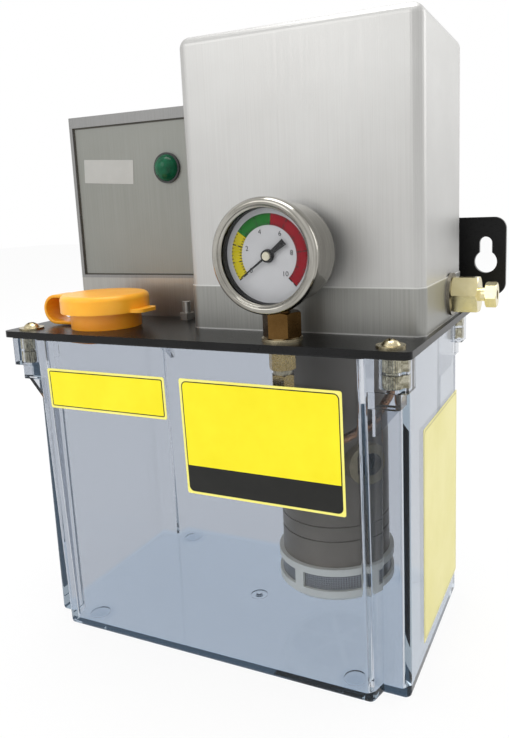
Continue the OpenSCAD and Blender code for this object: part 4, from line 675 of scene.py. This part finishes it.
def placeOnWall(look, shared):
    # the label's axes are across the wall, up it and out of it
    midA, midB = ((look["low"][i] + look["high"][i]) / 2 for i in (0, 1))
    across, up = Vector((1, 0, 0)), Vector((0, 0, 1))
    if look["wall"] == "front":
        lean = shared["tankLean"] / shared["tankHeight"]
        up = Vector((0, -lean, 1)).normalized()
        middle = Vector((midA, shared["frontAtFloor"] - lean * midB, midB))
    elif look["wall"] == "side":
        across = Vector((0, 1, 0))
        middle = Vector((shared["sideWall"], midA, midB))
    else:
        middle = Vector((midA, shared["panelFace"], midB))
    out = across.cross(up)
    turn = Matrix((across, up, out)).transposed().to_4x4()
    return Matrix.Translation(middle + out * shared["standOff"]) @ turn


def makeLabel(name, look, shared):
    bm = bmesh.new()
    plain = look["wall"] == "panel"
    corner = look.get("corner", shared["corner"])
    field = addLayer(bm, look, shared, 0, corner, 0, fieldPaint if plain else edgePaint)
    if not plain:
        low = shared["thick"] * shared["innerLift"]
        field = addLayer(bm, look, shared, shared["border"], look["lineCorner"], low, linePaint)
        bmesh.ops.inset_region(bm, faces=field, thickness=shared["line"], use_boundary=True,
                               use_even_offset=True)
        for face in field:
            face.material_index = fieldPaint
    if "band" in look:
        paintBand(bm, look, field)
    tilt = Matrix.Rotation(math.radians(look.get("tilt", 0)), 4, "Z")
    faceOutwards(bm, toMetres @ placeOnWall(look, shared) @ tilt)
    finishPiece(name, bm, look["paints"], "base")


for name, look in labels.items():
    makeLabel(name, look, labelShared)
print("labels placed")


# Painted shade: a thin dark frame around the control box's front panel stands for the shade in the panel's
# recess gap
panelShadeFrame = {"left": -97.3, "right": -16.7, "low": 174.5, "high": 251.7, "face": -2.8, "wide": 0.7,
            "thick": 0.3, "standOff": 0.02}


def makePanelShadeFrame(look):
    bm = bmesh.new()
    addPlate(bm, look["right"] - look["left"], look["high"] - look["low"])
    inner = bm.faces[:]
    ring = bmesh.ops.inset_region(bm, faces=inner, thickness=look["wide"], use_boundary=True,
                                  use_even_offset=True)["faces"]
    bmesh.ops.delete(bm, geom=inner, context="FACES_ONLY")
    pullFaces(bm, ring, (0, 0, look["thick"]))
    middle = ((look["left"] + look["right"]) / 2, look["face"] - look["standOff"],
              (look["low"] + look["high"]) / 2)
    faceOutwards(bm, toMetres @ Matrix.Translation(middle) @ standUp)
    finishPiece("panelShadeFrame", bm, ["shadeFrameGrey"], "base")


makePanelShadeFrame(panelShadeFrame)
print("panel shade frame laid")


# Gauge: rolled bezel, printed dial and pointer
gauge = {
    "x": 43.0, "z": 188.0, "front": -65.0, "dialFace": -58.0, "zero": 216.0, "sweep": 262.0,
    # radius and depth behind the front, round the bezel's section
    "bezel": [(20.55, 8.0), (21.5, 8.0), (21.9, 7.7), (22.0, 7.2), (22.0, 5.7), (22.3, 5.2), (22.8, 4.9),
              (22.8, 3.2), (22.72, 2.3), (22.45, 1.45), (22.0, 0.75), (21.4, 0.25), (20.8, 0.0), (20.2, 0.05),
              (19.8, 0.3), (19.62, 0.75), (19.4, 1.15), (18.95, 1.4), (18.65, 1.7), (18.6, 2.0),
              (20.55, 2.0)],
    "bezelSteps": 112,
    "bandIn": 11.9, "bandOut": 16.4, "bandThick": 0.05, "bandStep": 3,
    "bands": [("dialYellow", 216.0, 144.0), ("dialGreen", 144.0, 85.0), ("dialRed", 85.0, -46.0)],
    "numbers": ("0", "2", "4", "6", "8", "10"),
    "numberRadius": 9.9, "numberHeight": 2.8, "numberLift": 0.05, "numberHalfThick": 0.025,
}
gaugeAxis = (0, 1, 0)
gaugeCentre = Vector((gauge["x"], 0, gauge["z"])) * mm


def onDial(radius, angle, lift):
    turn = math.radians(angle)
    across, up = radius * math.cos(turn), radius * math.sin(turn)
    return Vector((gauge["x"] + across, gauge["dialFace"] - lift, gauge["z"] + up))


def makeBezel():
    bm = bmesh.new()
    points = [(gauge["x"] + r, gauge["front"] + depth, gauge["z"]) for r, depth in gauge["bezel"]]
    verts = [bm.verts.new(Vector(p) * mm) for p in points]
    edges = [bm.edges.new((a, b)) for a, b in zip(verts, verts[1:] + verts[:1])]
    bmesh.ops.spin(bm, geom=verts + edges, cent=gaugeCentre, axis=gaugeAxis, dvec=(0, 0, 0),
                   angle=2 * math.pi, steps=gauge["bezelSteps"], use_merge=True, use_duplicate=False)
    bmesh.ops.recalc_face_normals(bm, faces=bm.faces)
    piece = finishPiece("bezelRing", bm, ["gaugeSteel"], "base", sharp=50)
    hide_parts("gauge_bezel")


def makeBands():
    inner, outer, thick = gauge["bandIn"], gauge["bandOut"], gauge["bandThick"]
    for name, start, end in gauge["bands"]:
        bm = bmesh.new()
        section = [(inner, 0.0), (outer, 0.0), (outer, thick), (inner, thick)]
        face = bm.faces.new([bm.verts.new(onDial(r, start, lift) * mm) for r, lift in section])
        bmesh.ops.spin(bm, geom=[face, *face.edges, *face.verts], cent=gaugeCentre, axis=gaugeAxis,
                       dvec=(0, 0, 0), angle=math.radians(start - end),
                       steps=int((start - end) / gauge["bandStep"]), use_merge=False, use_duplicate=False)
        bmesh.ops.remove_doubles(bm, verts=bm.verts, dist=weld * mm)
        bmesh.ops.recalc_face_normals(bm, faces=bm.faces)
        finishPiece(name + "Band", bm, [name], "base")


ticks = {"steps": 50, "major": 2.2, "half": 1.5, "minor": 1.0, "wide": 0.5, "fine": 0.36, "outerShare": 0.7,
         "lift": 0.07, "thick": 0.05}


def addTick(bm, start, end, width):
    # a flat bar from start to end, standing out of the dial
    out = Vector((0, -1, 0))
    along = (end - start).normalized()
    side = along.cross(out).normalized()
    made = bmesh.ops.create_cube(bm, size=1)["verts"]
    turn = Matrix((along, side, out)).transposed().to_4x4()
    size = Matrix.Diagonal(((end - start).length, width, ticks["thick"], 1))
    place = Matrix.Translation((start + end) / 2)
    bmesh.ops.transform(bm, matrix=toMetres @ place @ turn @ size, verts=made)


def makeTicks():
    bm = bmesh.new()
    for i in range(ticks["steps"] + 1):
        angle = gauge["zero"] - gauge["sweep"] * i / ticks["steps"]
        kind = "major" if i % 10 == 0 else "half" if i % 5 == 0 else "minor"
        width = ticks["fine" if kind == "minor" else "wide"]
        reach = ticks[kind]
        for low, high in ((gauge["bandIn"], gauge["bandIn"] + reach),
                          (gauge["bandOut"] - reach * ticks["outerShare"], gauge["bandOut"])):
            addTick(bm, onDial(low, angle, ticks["lift"]), onDial(high, angle, ticks["lift"]), width)
    finishPiece("dialTicks", bm, ["labelBlack"], "base")


def makeNumbers():
    bm = bmesh.new()
    for i, number in enumerate(gauge["numbers"]):
        words = bpy.data.curves.new("dialNumber" + number, "FONT")
        words.body = number
        words.align_x, words.align_y = "CENTER", "CENTER"
        words.size = gauge["numberHeight"]
        words.extrude = gauge["numberHalfThick"]
        holder = addObject("dialNumber" + number, words)
        bpy.context.view_layer.update()
        flat = bpy.data.meshes.new_from_object(holder.evaluated_get(bpy.context.evaluated_depsgraph_get()))
        bpy.data.objects.remove(holder)
        angle = gauge["zero"] - gauge["sweep"] * i / (len(gauge["numbers"]) - 1)
        place = Matrix.Translation(onDial(gauge["numberRadius"], angle, gauge["numberLift"]))
        flat.transform(toMetres @ place @ standUp)
        bm.from_mesh(flat)
        bpy.data.meshes.remove(flat)
    finishPiece("dialNumbers", bm, ["labelBlack"], "base")


pointer = {
    "lift": 1.4, "thick": 0.5,
    # distance along the needle and width there, from the tail to the tip
    "outline": [(-9.2, 2.7), (-1.5, 1.5), (0, 1.0), (14.4, 0.35)],
    "hub": 2.7, "hubLow": 0.9, "hubThick": 1.0, "button": 1.75, "buttonThick": 0.6, "taper": 0.9, "steps": 40,
}


def makePointer(look):
    # drawn along +X on the dial, then turned to zero
    bm = bmesh.new()
    outline = [(x, -width / 2) for x, width in look["outline"]]
    outline += [(x, width / 2) for x, width in reversed(look["outline"])]
    face = bm.faces.new([bm.verts.new((x, y, look["lift"])) for x, y in outline])
    pullFaces(bm, [face], (0, 0, look["thick"]))
    hubTop = look["lift"] + look["hubThick"]
    for radius, low, high, paint in ((look["hub"], look["hubLow"], hubTop, 0),
                                     (look["button"], hubTop, hubTop + look["buttonThick"], 1)):
        made = bmesh.ops.create_cone(bm, cap_ends=True, segments=look["steps"], radius1=radius,
                                     radius2=radius * look["taper"], depth=high - low)["verts"]
        bmesh.ops.translate(bm, vec=(0, 0, (low + high) / 2), verts=made)
        for f in {f for v in made for f in v.link_faces}:
            f.material_index = paint
    toZero = Matrix.Rotation(math.radians(gauge["zero"]), 4, "Z")
    place = Matrix.Translation((gauge["x"], gauge["dialFace"], gauge["z"]))
    faceOutwards(bm, toMetres @ place @ standUp @ toZero)
    piece = finishPiece("pointerNeedle", bm, ["sealBlack", "hubIvory"], "pointer")
    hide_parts("gauge_pointer")


makeBezel()
makeBands()
makeTicks()
makeNumbers()
makePointer(pointer)
print("gauge dressed")


# Thread inserts: two knurled bands with a groove between them
insert = {
    "x": 90.5, "y": 52.5, "top": 149.2, "length": 12.0, "radius": 4.5, "bore": 2.6, "ridges": 26,
    "ridgeDepth": 0.4,
    # share of the length and share of the radius; the full radius is knurled
    "levels": [(0.0, 0.93), (0.06, 1.0), (0.44, 1.0), (0.47, 0.87), (0.53, 0.87), (0.56, 1.0), (0.94, 1.0),
               (1.0, 0.93)],
}


def addInsertRing(bm, place, share, radius, dent=1.0):
    # every second point is drawn in by the dent
    made = bmesh.ops.create_circle(bm, cap_ends=False, segments=insert["ridges"] * 2, radius=radius)["verts"]
    for v in made[1::2]:
        v.co *= dent
    height = insert["top"] - insert["length"] * (1 - share)
    bmesh.ops.translate(bm, vec=(*place, height), verts=made)
    return list({e for v in made for e in v.link_edges})


def makeInserts():
    bm = bmesh.new()
    knurl = 1 - insert["ridgeDepth"] / insert["radius"]
    for sx in (-1, 1):
        for sy in (-1, 1):
            place = (sx * insert["x"], sy * insert["y"])
            loops = [addInsertRing(bm, place, share, insert["radius"] * size, knurl if size == 1.0 else 1.0)
                     for share, size in insert["levels"]]
            loops += [addInsertRing(bm, place, share, insert["bore"]) for share in (1.0, 0.0)]
            for low, high in zip(loops, loops[1:] + loops[:1]):
                bmesh.ops.bridge_loops(bm, edges=low + high)
    faceOutwards(bm, toMetres)
    piece = finishPiece("knurledInserts", bm, ["insertBrass"], "base", sharp=25)
    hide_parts("thread_inserts")


makeInserts()
print("inserts knurled")


# Cap strap: a bent band that runs from the neck round a turn to the cap
strap = {"y": -35.6, "width": 11.0, "thick": 1.5, "corner": 0.4, "cornerSteps": 3, "neckEnd": -75.3,
         "capEnd": -79.3, "bend": -85.1, "low": 154.35, "high": 167.45, "runs": 4, "turnSteps": 16,
         "hold": 0.8}  # height at each end of the turn


def runStrap(bm, faces, distance, keepStart):
    # pulls the section along X in short runs, with no wall left inside
    for i in range(strap["runs"]):
        start = faces
        faces = pullFaces(bm, start, (distance / strap["runs"], 0, 0))
        if i or not keepStart:
            bmesh.ops.delete(bm, geom=start, context="FACES_ONLY")
    return faces


def makeStrap():
    bm = bmesh.new()
    roundCorners(bm, addPlate(bm, strap["width"], strap["thick"]), strap["corner"], strap["cornerSteps"])
    # the section lies across Y and Z and runs towards -X
    turn = Matrix(((0, 0, 1), (1, 0, 0), (0, 1, 0))).to_4x4()
    place = Matrix.Translation((strap["neckEnd"], strap["y"], strap["low"]))
    bmesh.ops.transform(bm, matrix=place @ turn, verts=bm.verts)
    turned = runStrap(bm, bm.faces[:], strap["bend"] - strap["neckEnd"], True)
    middle = (strap["bend"], strap["y"], (strap["low"] + strap["high"]) / 2)
    spun = bmesh.ops.spin(bm, geom=turned, cent=middle, axis=(0, 1, 0), dvec=(0, 0, 0), angle=math.pi,
                          steps=strap["turnSteps"], use_merge=False, use_duplicate=False)["geom_last"]
    end = onlyFaces(spun)
    bmesh.ops.delete(bm, geom=[f for f in turned if f.is_valid], context="FACES_ONLY")
    runStrap(bm, end, strap["capEnd"] - strap["bend"], False)
    bmesh.ops.remove_doubles(bm, verts=bm.verts, dist=weld)
    faceOutwards(bm, toMetres)
    piece = finishPiece("capStrap", bm, ["capOrange"], None, sharp=50)
    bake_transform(piece)
    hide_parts("cap_strap")


makeStrap()
print("strap bent")
